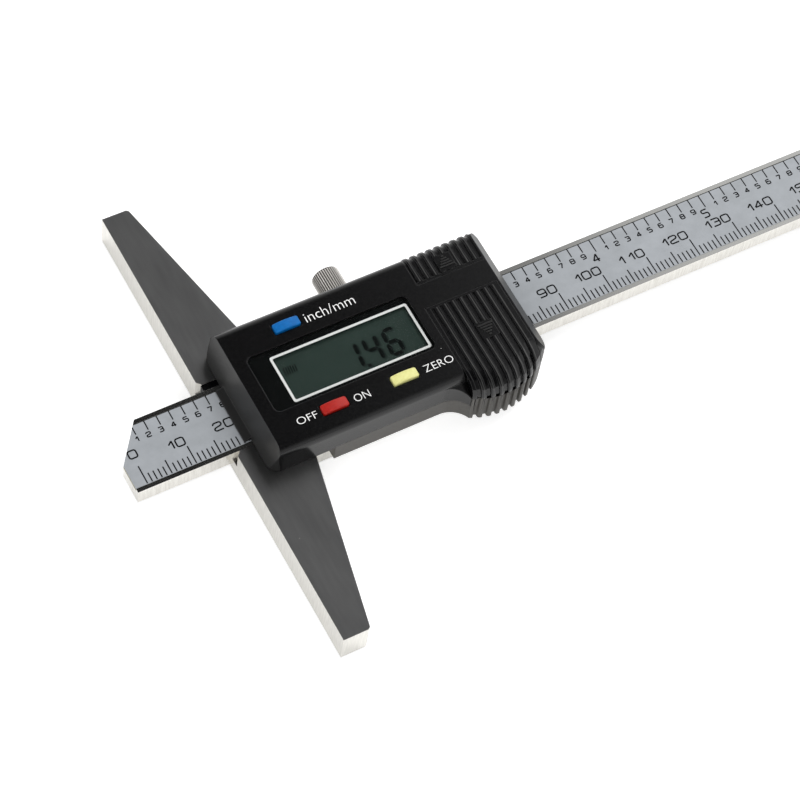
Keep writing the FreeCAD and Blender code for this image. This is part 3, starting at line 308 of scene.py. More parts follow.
def knurled_nickel():
    """Bright nickel, with the grooves of the knurl painted dark as shade."""
    made = finish("lock_screw", (222, 218, 213), (246, 242, 238), (0.18, 0.3), (2200.0, 300.0, 2200.0),
                  metal=0.35, bump=0.1, worn=(244, 242, 238), wear=0.4, radius=0.03)
    tree, shader = shader_of(made)
    low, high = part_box("lock_screw")
    centre, radius = (low + high) / 2, (high.x - low.x) / 2
    out = vector_step(tree, "SUBTRACT", object_space(tree), centre).outputs[0]
    across = vector_step(tree, "MULTIPLY", out, (1.0, 0.0, 1.0)).outputs[0]
    reach = vector_step(tree, "LENGTH", across).outputs["Value"]
    ridge = between(tree, reach, 0.0, 1.0, radius - GROOVE_FOOT * MM, radius - RIDGE_TOP * MM)
    face = calc(tree, "LESS_THAN", reach, radius - FACE_EDGE * MM)
    unshaded = calc(tree, "MAXIMUM", ridge, face)
    colour = shader.inputs["Base Color"]
    tree.links.new(blend(tree, unshaded, GROOVE_SHADE, colour.links[0].from_socket), colour)
    return made


BLACK = ((3, 3, 4), (9, 9, 10))
# Where a face starts to count and counts in full as a slope, by its normal's z, and as endwise, by its x
TILTED = (0.985, 0.94)
ENDWISE = (0.15, 0.3)
# The slopes' grey is painted reflected light; their roughness is the matt moulding
SLOPE_SHEEN_TONE = tone(40, 40, 40)
SLOPE_ROUGHNESS = 0.36


def moulded_black():
    """The housing's black plastic: polished on top, and matt on its end slopes, which are painted a little
    greyer as reflected light.
    """
    made = finish("housing", *BLACK, (0.17, 0.26), (2600.0,) * 3, bump=0.12, depth=6e-6, radius=0.28,
                  worn=(52, 52, 52), wear=0.35, specks=0.07, detail=2.0, Specular_IOR_Level=0.48)
    tree, shader = shader_of(made)
    facing = add(tree, "ShaderNodeNewGeometry").outputs["Normal"]
    along, _, upward = axes_of(tree, facing)
    tilted = between(tree, upward, 0.0, 1.0, *TILTED)
    endwise = between(tree, calc(tree, "ABSOLUTE", along), 0.0, 1.0, *ENDWISE)
    slope = calc(tree, "MULTIPLY", tilted, endwise)
    colour, rough = shader.inputs["Base Color"], shader.inputs["Roughness"]
    tree.links.new(blend(tree, slope, colour.links[0].from_socket, SLOPE_SHEEN_TONE), colour)
    tree.links.new(between(tree, slope, rough.links[0].from_socket, SLOPE_ROUGHNESS), rough)
    return made


# The grip in millimetres: grooves between ribs along X, a plain strip between the two covers, and
# the flat pads with the arrows
RIB_PITCH = 1.75
GROOVE_START, GROOVE_WIDTH, GROOVE_COUNT = 45.2, 0.75, 9
RIB_CREST = GROOVE_START + (GROOVE_WIDTH + RIB_PITCH) / 2
RIB_SIDES = [
    start + RIB_PITCH * number
    for start in (GROOVE_START, GROOVE_START + GROOVE_WIDTH) for number in range(GROOVE_COUNT)
]
STRIP_Y, STRIP_HALF = 4.65, 3.2
GRIP_X, GRIP_HALF = 52.0, 7.0
ARROW_X = 52.9
PAD_YS = (-6.9, 9.8)
PAD_HALF_X, PAD_HALF_Y = 1.8, 1.85
# The highlight painted along a crest: how far it reaches at full and at all, in rib pitches, and its tone and
# strength
CREST_FULL, CREST_END = 0.02, 0.1
CREST_HIGHLIGHT_TONE = tone(76, 76, 75)
CREST_HIGHLIGHT_SHARE = (0.45, 0.95)


def ribbed_black():
    """The covers' black plastic, with a grey highlight painted in patches along the crest of each rib, and
    light edges that are painted highlights too.
    """
    made = finish("covers", *BLACK, (0.15, 0.24), (2600.0,) * 3, bump=0.12, depth=6e-6, radius=0.2,
                  worn=(96, 96, 96), wear=0.6, specks=0.05, detail=2.0, Specular_IOR_Level=0.48)
    tree, shader = shader_of(made)
    axes = axes_of(tree, object_space(tree))

    def away(axis, centre):
        """How far a point is from a plane square to an axis, in metres."""
        return calc(tree, "ABSOLUTE", calc(tree, "SUBTRACT", axes[axis], centre * MM))

    step = calc(tree, "DIVIDE", calc(tree, "SUBTRACT", axes[0], RIB_CREST * MM), RIB_PITCH * MM)
    off_crest = calc(tree, "PINGPONG", step, 0.5)
    crest = between(tree, off_crest, 1.0, 0.0, CREST_FULL, CREST_END)
    ribbed = calc(tree, "GREATER_THAN", away(1, STRIP_Y), STRIP_HALF * MM)
    ribbed = calc(tree, "MULTIPLY", ribbed, calc(tree, "LESS_THAN", away(0, GRIP_X), GRIP_HALF * MM))
    beside = calc(tree, "MINIMUM", *(away(1, y) for y in PAD_YS))
    pad = calc(tree, "LESS_THAN", beside, PAD_HALF_Y * MM)
    pad = calc(tree, "MULTIPLY", pad, calc(tree, "LESS_THAN", away(0, ARROW_X), PAD_HALF_X * MM))
    crest = calc(tree, "MULTIPLY", crest, ribbed)
    # The painted highlight on the crests, left off the arrows' pads
    crest_highlight = calc(tree, "MULTIPLY", crest, calc(tree, "SUBTRACT", 1.0, pad))
    patches = grain_of(tree, (400.0,) * 3, contrast=1.5)
    share = calc(tree, "MULTIPLY", crest_highlight, between(tree, patches, *CREST_HIGHLIGHT_SHARE))
    colour = shader.inputs["Base Color"]
    tree.links.new(blend(tree, share, colour.links[0].from_socket, CREST_HIGHLIGHT_TONE), colour)
    return made


def clear_window():
    """Clear plastic that lets light straight through to the display."""
    made, tree, glass = new_material("clear_window")
    glass.inputs["Base Color"].default_value = (0.95, 0.97, 0.97, 1.0)
    glass.inputs["Transmission Weight"].default_value = 1.0
    glass.inputs["IOR"].default_value = 1.49
    smear = grain_of(tree, (90.0, 240.0, 90.0), detail=4.0)
    tree.links.new(between(tree, smear, 0.02, 0.07), glass.inputs["Roughness"])
    through = add(tree, "ShaderNodeBsdfTransparent")
    rays = add(tree, "ShaderNodeLightPath")
    passing = calc(tree, "MAXIMUM", rays.outputs["Is Shadow Ray"], rays.outputs["Is Diffuse Ray"])
    mixed = add(tree, "ShaderNodeMixShader", {0: passing, 1: glass.outputs[0], 2: through.outputs[0]})
    tree.links.new(mixed.outputs[0], tree.nodes["Material Output"].inputs["Surface"])
    return made


METAL = dict(metal=1.0, bump=0.1)
BUTTON = dict(bump=0.15, depth=4e-6, radius=0.25, specks=0.02)
PRINT = dict(bump=0.1, radius=0.02)
# For each surface: the two tones of its grain, its two roughnesses, its grains in a metre, and the rest
SURFACES = {
    "dark_screws": ((70, 70, 72), (95, 95, 97), (0.3, 0.45), (1800.0,) * 3,
                    dict(METAL, worn=(150, 150, 150), radius=0.1)),
    "scale_board": ((150, 146, 124), (176, 172, 150), (0.5, 0.65), (900.0,) * 3, {}),
    "scale_film": ((152, 156, 160), (170, 174, 179), (0.34, 0.46), (500.0,) * 3,
                   dict(bump=0.08, depth=1e-6, radius=0.03, specks=0.03, cross=(90.0, 260.0, 90.0))),
    "blued_steel": ((26, 26, 28), (44, 44, 47), (0.4, 0.55), (200.0, 2400.0, 2400.0),
                    dict(METAL, worn=(70, 70, 74), radius=0.05)),
    "tip_brass": ((190, 158, 92), (214, 184, 118), (0.25, 0.4), (200.0, 2400.0, 2400.0),
                  dict(METAL, worn=(240, 220, 160), radius=0.08)),
    "spring_steel": ((188, 187, 182), (212, 211, 206), (0.25, 0.4), (2400.0, 240.0, 2400.0),
                     dict(METAL, radius=0.05)),
    "side_rails": ((72, 70, 67), (94, 92, 88), (0.42, 0.56), (2200.0,) * 3,
                   dict(bump=0.25, depth=6e-6, radius=0.3, worn=(104, 101, 96), wear=0.4, specks=0.04)),
    "display": ((36, 49, 44), (42, 56, 51), (0.3, 0.4), (160.0,) * 3,
                dict(radius=0.05, cross=(40.0, 900.0, 40.0), Specular_IOR_Level=0.2)),
    "inner_plastic": ((58, 58, 58), (70, 70, 70), (0.45, 0.6), (1500.0,) * 3, dict(bump=0.2, radius=0.08)),
    "soft_rubber": ((140, 140, 146), (165, 165, 170), (0.6, 0.8), (4000.0, 60.0, 60.0), {}),
    "circuit_board": ((26, 92, 48), (36, 114, 62), (0.3, 0.42), (1600.0,) * 3,
                      dict(radius=0.05, cross=(3000.0, 200.0, 200.0))),
    "chip_resin": ((24, 24, 24), (36, 36, 36), (0.25, 0.4), (900.0,) * 3, dict(radius=0.2)),
    "contact_gold": ((214, 178, 98), (236, 204, 128), (0.22, 0.34), (900.0, 2400.0, 900.0),
                     dict(metal=1.0, radius=0.02)),
    # The buttons' edge tones are painted highlights along their rims
    "button_blue": ((0, 92, 162), (0, 110, 186), (0.3, 0.42), (1800.0,) * 3,
                    dict(BUTTON, worn=(110, 180, 226), wear=0.6, Specular_IOR_Level=0.3)),
    "button_red": ((160, 20, 13), (184, 31, 21), (0.3, 0.42), (1800.0,) * 3,
                   dict(BUTTON, worn=(228, 120, 110), wear=0.25)),
    "button_yellow": ((222, 219, 138), (236, 234, 162), (0.3, 0.42), (1800.0,) * 3,
                      dict(BUTTON, worn=(250, 248, 206), wear=0.25)),
    "cell_steel": ((196, 196, 194), (220, 220, 218), (0.16, 0.3), (1800.0, 1800.0, 120.0),
                   dict(METAL, bump=0.08, radius=0.1)),
    "black_ink": ((5, 6, 8), (11, 12, 14), (0.45, 0.6), (2500.0,) * 3, dict(PRINT, Specular_IOR_Level=0.25)),
    "white_ink": ((222, 222, 220), (240, 240, 238), (0.45, 0.6), (2500.0,) * 3, PRINT),
    "letter_ink": ((250, 250, 249), (255, 255, 254), (0.45, 0.6), (2500.0,) * 3, PRINT),
    "window_black": ((1, 3, 3), (4, 6, 6), (0.4, 0.5), (1200.0,) * 3,
                     dict(radius=0.02, Specular_IOR_Level=0.1)),
    # The arrow bars: a grey lighter than the housing, with lighter edges, painted as their highlights
    "highlit_ridge": ((22, 22, 22), (36, 36, 36), (0.3, 0.42), (2600.0,) * 3,
                     dict(bump=0.2, depth=6e-6, radius=0.1, worn=(110, 110, 108), wear=0.6)),
    "display_shade": ((22, 34, 31), (28, 41, 37), (0.3, 0.4), (160.0,) * 3,
                      dict(radius=0.02, Specular_IOR_Level=0.2)),
    "display_ink": ((1, 5, 5), (5, 10, 9), (0.4, 0.5), (700.0,) * 3,
                    dict(radius=0.02, Specular_IOR_Level=0.15)),
}
FINISHES = {name: finish(name, *look, **more) for name, (*look, more) in SURFACES.items()}
# The two steels, painted darker on their faces up and down as shade and brighter on their sides as the floor's
# reflection
FINISHES.update({
    "ground_steel": two_way_steel(
        "ground_steel", ((150, 150, 151), (170, 170, 170)), ((221, 219, 213), (239, 237, 231)),
        (0.3, 0.4), (1400.0, 160.0, 1400.0), (180.0, 90.0, 180.0), 0.14),
    "beam_steel": two_way_steel(
        "beam_steel", ((180, 180, 178), (200, 200, 197)), ((223, 220, 213), (243, 241, 235)),
        (0.12, 0.2), (120.0, 1800.0, 1800.0), (60.0, 300.0, 300.0), 0.05),
    "lock_screw": knurled_nickel(),
    "housing": moulded_black(),
    "covers": ribbed_black(),
    "window": clear_window(),
})

for part in frame["record"]["subparts"]:
    shape = CAD[part["node"]].data
    shape.materials.clear()
    shape.materials.append(FINISHES[part["material_slot"]])


# ---------------- making pieces

def new_object(name, data):
    """A new object in the scene."""
    made = bpy.data.objects.new(name, data)
    bpy.context.scene.collection.objects.link(made)
    return made


def new_mesh(name, vertices, faces, material=None, edges=()):
    """A new mesh, with its material where it has one."""
    mesh = bpy.data.meshes.new(name)
    mesh.from_pydata(vertices, edges, faces)
    if material:
        mesh.materials.append(material)
    return mesh


def stand_in_scene(name, mesh, body):
    """Put a finished mesh in the scene as a piece of the gauge."""
    piece = new_object(name, mesh)
    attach(piece, body)
    return piece


def run_tree(name, host_mesh, tree, values):
    """Run a geometry tree over a mesh and hand back the plain mesh it makes."""
    host = new_object(name + "_host", host_mesh)
    modifier = host.modifiers.new("tree", "NODES")
    modifier.node_group = tree
    sockets = {item.name: item.identifier for item in tree.interface.items_tree if item.in_out == "INPUT"}
    for title, value in values.items():
        modifier[sockets[title]] = value
    host.update_tag()
    seen = host.evaluated_get(bpy.context.evaluated_depsgraph_get())
    mesh = bpy.data.meshes.new_from_object(seen)
    mesh.name = name
    host.modifiers.remove(modifier)
    bpy.data.objects.remove(host)
    return mesh


def merged(name, meshes):
    """Several meshes as one, each keeping its material."""
    vertices, faces, marks, materials = [], [], [], []
    for mesh in meshes:
        start = len(vertices)
        vertices += [vertex.co.copy() for vertex in mesh.vertices]
        for face in mesh.polygons:
            faces.append([start + corner for corner in face.vertices])
            material = mesh.materials[face.material_index]
            if material not in materials:
                materials.append(material)
            marks.append(materials.index(material))
    whole = new_mesh(name, vertices, faces)
    for material in materials:
        whole.materials.append(material)
    whole.polygons.foreach_set("material_index", marks)
    whole.update()
    return whole


def slabs(name, outlines, low, high, material):
    """Flat closed outlines in millimetres, each raised to a thin slab, as printed ink is."""
    vertices, faces = [], []
    for points in outlines:
        start, count = len(vertices), len(points)
        vertices += [(x * MM, y * MM, z * MM) for z in (low, high) for x, y in points]
        faces.append([start + index for index in reversed(range(count))])
        faces.append([start + count + index for index in range(count)])
        for index in range(count):
            after = (index + 1) % count
            faces.append([start + index, start + after, start + count + after, start + count + index])
    return new_mesh(name, vertices, faces, material)


def wires(name, strokes):
    """Open or closed strokes in millimetres as loose edges, for a tree to thicken."""
    vertices, edges = [], []
    for points, closed, level in strokes:
        start, count = len(vertices), len(points)
        vertices += [(x * MM, y * MM, level * MM) for x, y in points]
        edges += [(start + index, start + index + 1) for index in range(count - 1)]
        if closed:
            edges.append((start + count - 1, start))
    return new_mesh(name, vertices, [], edges=edges)


# ---------------- geometry trees

def tick_row_tree():
    """A row of scale marks: each tenth is long, each fifth middling and the rest short."""
    tree, given, result = new_group("tick_row", "GeometryNodeTree", [
        ("Geometry", "NodeSocketGeometry", None),
        ("Count", "NodeSocketInt", 11),
        ("First", "NodeSocketInt", 0),
        ("Zero", "NodeSocketFloat", 0.0),
        ("Pitch", "NodeSocketFloat", 0.001),
        ("Foot", "NodeSocketFloat", 0.0),
        ("Short", "NodeSocketFloat", 0.002),
        ("Middle", "NodeSocketFloat", 0.003),
        ("Long", "NodeSocketFloat", 0.004),
        ("Cut Start", "NodeSocketFloat", -1.0),
        ("Cut Slope", "NodeSocketFloat", 1.0),
        ("Cut Foot", "NodeSocketFloat", 0.0),
        ("Width", "NodeSocketFloat", 0.00016),
        ("Level", "NodeSocketFloat", 0.0),
        ("Height", "NodeSocketFloat", 0.00001),
        ("Ink", "NodeSocketMaterial", None),
    ], [("Geometry", "NodeSocketGeometry")])
    put = given.outputs
    start = calc(tree, "ADD", put["Zero"], calc(tree, "MULTIPLY", put["Pitch"], put["First"]))
    line = add(tree, "GeometryNodeMeshLine", {
        "Count": put["Count"],
        "Start Location": add(tree, "ShaderNodeCombineXYZ", {0: start, 2: put["Level"]}).outputs[0],
        "Offset": add(tree, "ShaderNodeCombineXYZ", {0: put["Pitch"]}).outputs[0],
    })
    number = calc(tree, "ADD", add(tree, "GeometryNodeInputIndex").outputs[0], put["First"])
    tenth = calc(tree, "COMPARE", calc(tree, "MODULO", number, 10.0), 0.0, 0.1)
    fifth = calc(tree, "COMPARE", calc(tree, "MODULO", number, 5.0), 0.0, 0.1)
    tip = put["Short"]
    for chosen, longer in ((fifth, put["Middle"]), (tenth, put["Long"])):
        tip = add(tree, "GeometryNodeSwitch", {0: chosen, 1: tip, 2: longer}, input_type="FLOAT").outputs[0]
    along = axes_of(tree, add(tree, "GeometryNodeInputPosition").outputs[0])[0]
    run = calc(tree, "SUBTRACT", along, put["Cut Start"])
    limit = calc(tree, "ADD", put["Cut Foot"], calc(tree, "MULTIPLY", run, put["Cut Slope"]))
    foot = calc(tree, "MINIMUM", put["Foot"], limit)
    length = calc(tree, "SUBTRACT", tip, foot)
    block = add(tree, "GeometryNodeMeshCube", {"Size": (1.0, 1.0, 1.0)})
    centre = add(tree, "ShaderNodeCombineXYZ", {
        1: calc(tree, "MULTIPLY", calc(tree, "ADD", foot, tip), 0.5),
        2: calc(tree, "MULTIPLY", put["Height"], 0.5),
    })
    spread = add(tree, "GeometryNodeSetPosition", {"Geometry": line.outputs[0], "Offset": centre.outputs[0]})
    size = add(tree, "ShaderNodeCombineXYZ", {
        0: put["Width"], 1: calc(tree, "ABSOLUTE", length), 2: put["Height"],
    })
    rows = add(tree, "GeometryNodeInstanceOnPoints", {
        "Points": spread.outputs[0], "Instance": block.outputs[0], "Scale": size.outputs[0],
    })
    real = add(tree, "GeometryNodeRealizeInstances", {0: rows.outputs[0]})
    inked = add(tree, "GeometryNodeSetMaterial", {"Geometry": real.outputs[0], "Material": put["Ink"]})
    tree.links.new(inked.outputs[0], result.inputs["Geometry"])
    return tree


def stroke_tree():
    """Thickens loose strokes to flat ribbons with rounded corners: numerals and ridges."""
    tree, given, result = new_group("strokes", "GeometryNodeTree", [
        ("Geometry", "NodeSocketGeometry", None),
        ("Width", "NodeSocketFloat", 0.0002),
        ("Height", "NodeSocketFloat", 0.00001),
        ("Corner", "NodeSocketFloat", 0.0002),
        ("Corner Steps", "NodeSocketInt", 3),
        ("Ink", "NodeSocketMaterial", None),
    ], [("Geometry", "NodeSocketGeometry")])
    put = given.outputs
    lines = add(tree, "GeometryNodeMeshToCurve", {"Mesh": put["Geometry"]})
    eased = add(tree, "GeometryNodeFilletCurve")
    eased.mode = "POLY"
    sources = {"Curve": lines.outputs[0], "Count": put["Corner Steps"], "Radius": put["Corner"]}
    for name, source in sources.items():
        tree.links.new(source, eased.inputs[name])
    eased.inputs["Limit Radius"].default_value = True
    level = add(tree, "GeometryNodeSetCurveNormal", {"Curve": eased.outputs[0]}, mode="Z_UP")
    ribbon = add(tree, "GeometryNodeCurvePrimitiveQuadrilateral", {
        "Width": put["Width"], "Height": put["Height"],
    })
    swept = add(tree, "GeometryNodeCurveToMesh", {
        "Curve": level.outputs[0], "Profile Curve": ribbon.outputs[0], "Fill Caps": True,
    })
    flat = add(tree, "GeometryNodeSetShadeSmooth", {"Geometry": swept.outputs[0], "Shade Smooth": False})
    real = add(tree, "GeometryNodeRealizeInstances", {0: flat.outputs[0]})
    inked = add(tree, "GeometryNodeSetMaterial", {"Geometry": real.outputs[0], "Material": put["Ink"]})
    tree.links.new(inked.outputs[0], result.inputs["Geometry"])
    return tree


TICK_ROW = tick_row_tree()
STROKES = stroke_tree()

# ---------------- the printed scale

FILM_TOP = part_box("scale_film")[1].z / MM
INK = 0.012
BEAM_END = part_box("scale_film")[1].x / MM
TIP_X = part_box("scale_film")[0].x / MM
BARE_END = 3.0
ZERO_X = -17.47
INCH = 25.4
MM_MARKS, INCH_MARKS = 201, 80
# The film's edge, and the width of the dark line painted along it as shade
FILM_EDGE, EDGE_SHADE_WIDTH = 6.2, 0.1
# The tip's slanted corner cuts the marks short along a line; the millimetre marks have no such line
TIP_CUT_Y = -0.975
TIP_CUT_SLOPE = 8.1 / 6
NO_CUT = 9.0

# Strokes of the squarish numerals, in a cell one wide and one high
NUMERALS = {
    "0": [([(0, 0), (1, 0), (1, 1), (0, 1)], True)],
    "1": [([(0.95, 0), (0.95, 1)], False), ([(0.95, 1), (0.45, 0.6)], False)],
    "2": [([(0, 0.76), (0, 1), (1, 1), (1, 0.56), (0, 0.36), (0, 0), (1.04, 0)], False)],
    "3": [([(0, 1), (1, 1), (1, 0), (0, 0)], False), ([(0.3, 0.53), (1, 0.53)], False)],
    "4": [([(0.76, 0), (0.76, 1)], False), ([(0.76, 1), (0, 0.28)], False),
          ([(0, 0.28), (1.06, 0.28)], False)],
    "5": [([(0.98, 1), (0, 1), (0, 0.56), (1, 0.56), (1, 0), (0, 0)], False)],
    "6": [([(0.95, 1), (0, 1), (0, 0), (1, 0), (1, 0.57), (0, 0.57)], False)],
    "7": [([(0, 1), (1, 1)], False), ([(1, 1), (0.42, 0)], False)],
    "8": [([(0, 0), (1, 0), (1, 1), (0, 1)], True), ([(0, 0.52), (1, 0.52)], False)],
    "9": [([(0.05, 0), (1, 0), (1, 1), (0, 1), (0, 0.43), (1, 0.43)], False)],
}


def number_strokes(text, right, level, foot, width, height, gap=0.0):
    """A number whose last digit ends at a given place."""
    strokes = []
    left = right - len(text) * width - (len(text) - 1) * gap
    for place, digit in enumerate(text):
        start = left + place * (width + gap)
        for points, closed in NUMERALS[digit]:
            laid = [(start + x * width, foot + y * height) for x, y in points]
            strokes.append((laid, closed, level))
    return strokes


def scale_marks():
    """The rows of millimetre and inch marks, and a dark line painted along the film's edge as the shade of the
    step between film and beam.
    """
    last = BEAM_END - BARE_END
    level = FILM_TOP * MM
    shared = {"Level": level, "Height": INK * MM, "Ink": FINISHES["black_ink"]}
    empty = bpy.data.meshes.new("start")
    millimetres = run_tree("millimetres", empty, TICK_ROW, {
        "Count": MM_MARKS, "First": 0, "Zero": ZERO_X * MM, "Pitch": 1 * MM, "Foot": -6.08 * MM,
        "Short": -4.1 * MM, "Middle": -3.07 * MM, "Long": -2.1 * MM, "Width": 0.25 * MM,
        "Cut Foot": NO_CUT, **shared,
    })
    inches = run_tree("inches", empty, TICK_ROW, {
        "Count": INCH_MARKS, "First": 1, "Zero": ZERO_X * MM, "Pitch": INCH / 10 * MM, "Foot": 6.16 * MM,
        "Short": 4.1 * MM, "Middle": 4.1 * MM, "Long": 3.2 * MM, "Width": 0.24 * MM,
        "Cut Start": TIP_X * MM, "Cut Slope": TIP_CUT_SLOPE, "Cut Foot": TIP_CUT_Y * MM, **shared,
    })
    line_start = TIP_X + (FILM_EDGE - TIP_CUT_Y) / TIP_CUT_SLOPE
    line_low = FILM_EDGE - EDGE_SHADE_WIDTH
    # A dark line painted along the film's edge as shade
    edge = slabs("edge_shade", [[
        (line_start, line_low), (last, line_low), (last, FILM_EDGE), (line_start, FILM_EDGE),
    ]], FILM_TOP, FILM_TOP + INK, FINISHES["black_ink"])
    marks = merged("scale_marks", [millimetres, inches, edge])
    stand_in_scene("scale_marks", marks, "beam")


def scale_numbers():
    """The numbers of both scales, thickened by the stroke tree."""
    middle = FILM_TOP + INK / 2
    large = []
    for value in range(0, MM_MARKS, 10):
        place = ZERO_X + value
        if value:
            large += number_strokes(
                str(value), place + 0.02, middle, foot=-1.6, width=1.62, height=1.7, gap=0.58)
        else:
            large += number_strokes("0", place + 0.95, middle, foot=-0.25, width=1.62, height=1.65)
    small, whole = [], []
    for tenth in range(1, INCH_MARKS):
        place = ZERO_X + tenth * INCH / 10
        if tenth % 10:
            small += number_strokes(str(tenth % 10), place + 0.04, middle, foot=2.66, width=0.84, height=1.0)
        else:
            whole += number_strokes(str(tenth // 10), place - 0.2, middle, foot=1.0, width=1.3, height=1.8)
    meshes = [
        run_tree(name, wires(name + "_wires", strokes), STROKES, {
            "Width": width * MM, "Corner": corner * MM, "Height": INK * MM, "Corner Steps": 3,
            "Ink": FINISHES["black_ink"],
        }) for name, strokes, width, corner in (
            ("large_numbers", large, 0.31, 0.4), ("small_numbers", small, 0.25, 0.2),
            ("whole_inches", whole, 0.31, 0.3),
        )
    ]
    stand_in_scene("scale_numbers", merged("scale_numbers", meshes), "beam")


# ---------------- the window and the display

LENS_LOW, LENS_HIGH = (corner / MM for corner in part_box("window_lens"))
DISPLAY_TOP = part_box("display_glass")[1].z / MM


def rounded_rectangle(left, right, low, high, radius, steps=5):
    """The corners of a rectangle with rounded corners, from its lower left, counter-clockwise."""
    points = []
    corners = ((left, low, 180), (right, low, 270), (right, high, 0), (left, high, 90))
    for x, y, turn in corners:
        centre = (x + radius if x == left else x - radius, y + radius if y == low else y - radius)
        for step in range(steps + 1):
            angle = math.radians(turn + 90 * step / steps)
            points.append((centre[0] + radius * math.cos(angle), centre[1] + radius * math.sin(angle)))
    return points


def band(name, outer, inner, low, high, material):
    """A flat closed band between two outlines that have the same number of points."""
    count = len(outer)
    rings = [(outer, low), (inner, low), (inner, high), (outer, high)]
    vertices = [(x * MM, y * MM, z * MM) for points, z in rings for x, y in points]
    faces = []
    for ring in range(4):
        following = (ring + 1) % 4
        for index in range(count):
            after = (index + 1) % count
            here, there = ring * count, following * count
            faces.append([here + index, there + index, there + after, here + after])
    return new_mesh(name, vertices, faces, material)


FRAME_OUTER = (12.65, 41.75, -5.62, 5.02)
FRAME_LINE = 0.5
BORDER_RADIUS, OUTER_RADIUS, INNER_RADIUS = 1.15, 0.5, 0.25
BORDER_EDGE = 0.05
PRINT_GAP, PRINT_THICK = 0.004, 0.03


def window_print():
    """The black border and the pale frame printed on the back of the window."""
    high = LENS_LOW.z - PRINT_GAP
    low = high - PRINT_THICK

    def inset(left, right, bottom, top, edge, radius):
        """A rounded outline, drawn in from its sides."""
        return rounded_rectangle(left + edge, right - edge, bottom + edge, top - edge, radius)

    whole = inset(LENS_LOW.x, LENS_HIGH.x, LENS_LOW.y, LENS_HIGH.y, BORDER_EDGE, BORDER_RADIUS)
    outer = inset(*FRAME_OUTER, 0.0, OUTER_RADIUS)
    inner = inset(*FRAME_OUTER, FRAME_LINE, INNER_RADIUS)
    black = band("border", whole, outer, low, high, FINISHES["window_black"])
    white = band("frame_line", outer, inner, low, high, FINISHES["white_ink"])
    stand_in_scene("window_print", merged("window_print", [black, white]), "frame")


# The display's digits in millimetres, the point and the unit's leaning bars
SEGMENT, SEGMENT_GAP = 0.8, 0.1
SLANT = 0.09
DIGIT_LOW, DIGIT_HIGH = -4.3, 2.0
DIGIT_WIDE = 3.15
DIGIT_LEFTS = (("1", 26.17), ("4", 30.38), ("6", 34.59))
SEGMENTS = {"1": "bc", "4": "bcfg", "6": "acdefg"}
POINT = [(29.0, -4.3), (29.65, -4.3), (29.7, -3.65), (29.05, -3.65)]
UNIT_LEFT, UNIT_PITCH, UNIT_BARS = 14.05, 0.46, 6
UNIT_BAR, UNIT_LEAN = 0.22, 0.16
UNIT_LOW, UNIT_HIGH = 0.6, 2.3
SHADOW = (0.3, -0.32)
# The foot of the ink, its top and the shadow's top, from the display's face
INK_LEVELS = (-0.005, 0.015, 0.004)


def segment_outlines(digit, left):
    """The lit bars of one slanted digit."""
    half = SEGMENT / 2
    low, high = DIGIT_LOW + half, DIGIT_HIGH - half
    middle = (low + high) / 2
    right = left + DIGIT_WIDE - SEGMENT
    bars = {
        "a": ((left, high), (right, high)), "g": ((left, middle), (right, middle)),
        "d": ((left, low), (right, low)), "f": ((left, middle), (left, high)),
        "e": ((left, low), (left, middle)), "b": ((right, middle), (right, high)),
        "c": ((right, low), (right, middle)),
    }
    gap = SEGMENT_GAP
    shapes = []
    for name in SEGMENTS[digit]:
        (x0, y0), (x1, y1) = bars[name]
        if y0 == y1:
            x0, x1 = x0 + gap, x1 - gap
            points = [(x0, y0), (x0 + half, y0 - half), (x1 - half, y0 - half),
                      (x1, y0), (x1 - half, y0 + half), (x0 + half, y0 + half)]
        else:
            y0, y1 = y0 + gap, y1 - gap
            points = [(x0, y0), (x0 + half, y0 + half), (x0 + half, y1 - half),
                      (x0, y1), (x0 - half, y1 - half), (x0 - half, y0 + half)]
        shapes.append([(x + SLANT * (y - middle), y) for x, y in points])
    return shapes


LETTER_SLIMMING = -0.012


def lettering(name, text, box, low, high, material):
    """Plain lettering fitted into a box on a level face, as a thin closed print."""
    curve = bpy.data.curves.new(name, "FONT")
    curve.body = text
    curve.extrude = 0.5
    curve.offset = LETTER_SLIMMING
    curve.resolution_u = 4
    holder = new_object(name + "_text", curve)
    seen = holder.evaluated_get(bpy.context.evaluated_depsgraph_get())
    mesh = bpy.data.meshes.new_from_object(seen)
    bpy.data.objects.remove(holder)
    xs = [vertex.co.x for vertex in mesh.vertices]
    ys = [vertex.co.y for vertex in mesh.vertices]
    left, right, bottom, top = box
    wide = (right - left) / (max(xs) - min(xs))
    tall = (top - bottom) / (max(ys) - min(ys))
    for vertex in mesh.vertices:
        vertex.co = Vector((
            (left + (vertex.co.x - min(xs)) * wide) * MM,
            (bottom + (vertex.co.y - min(ys)) * tall) * MM,
            (high if vertex.co.z > 0 else low) * MM,
        ))
    mesh.materials.clear()
    mesh.materials.append(material)
    for face in mesh.polygons:
        face.material_index = 0
        face.use_smooth = False
    return mesh


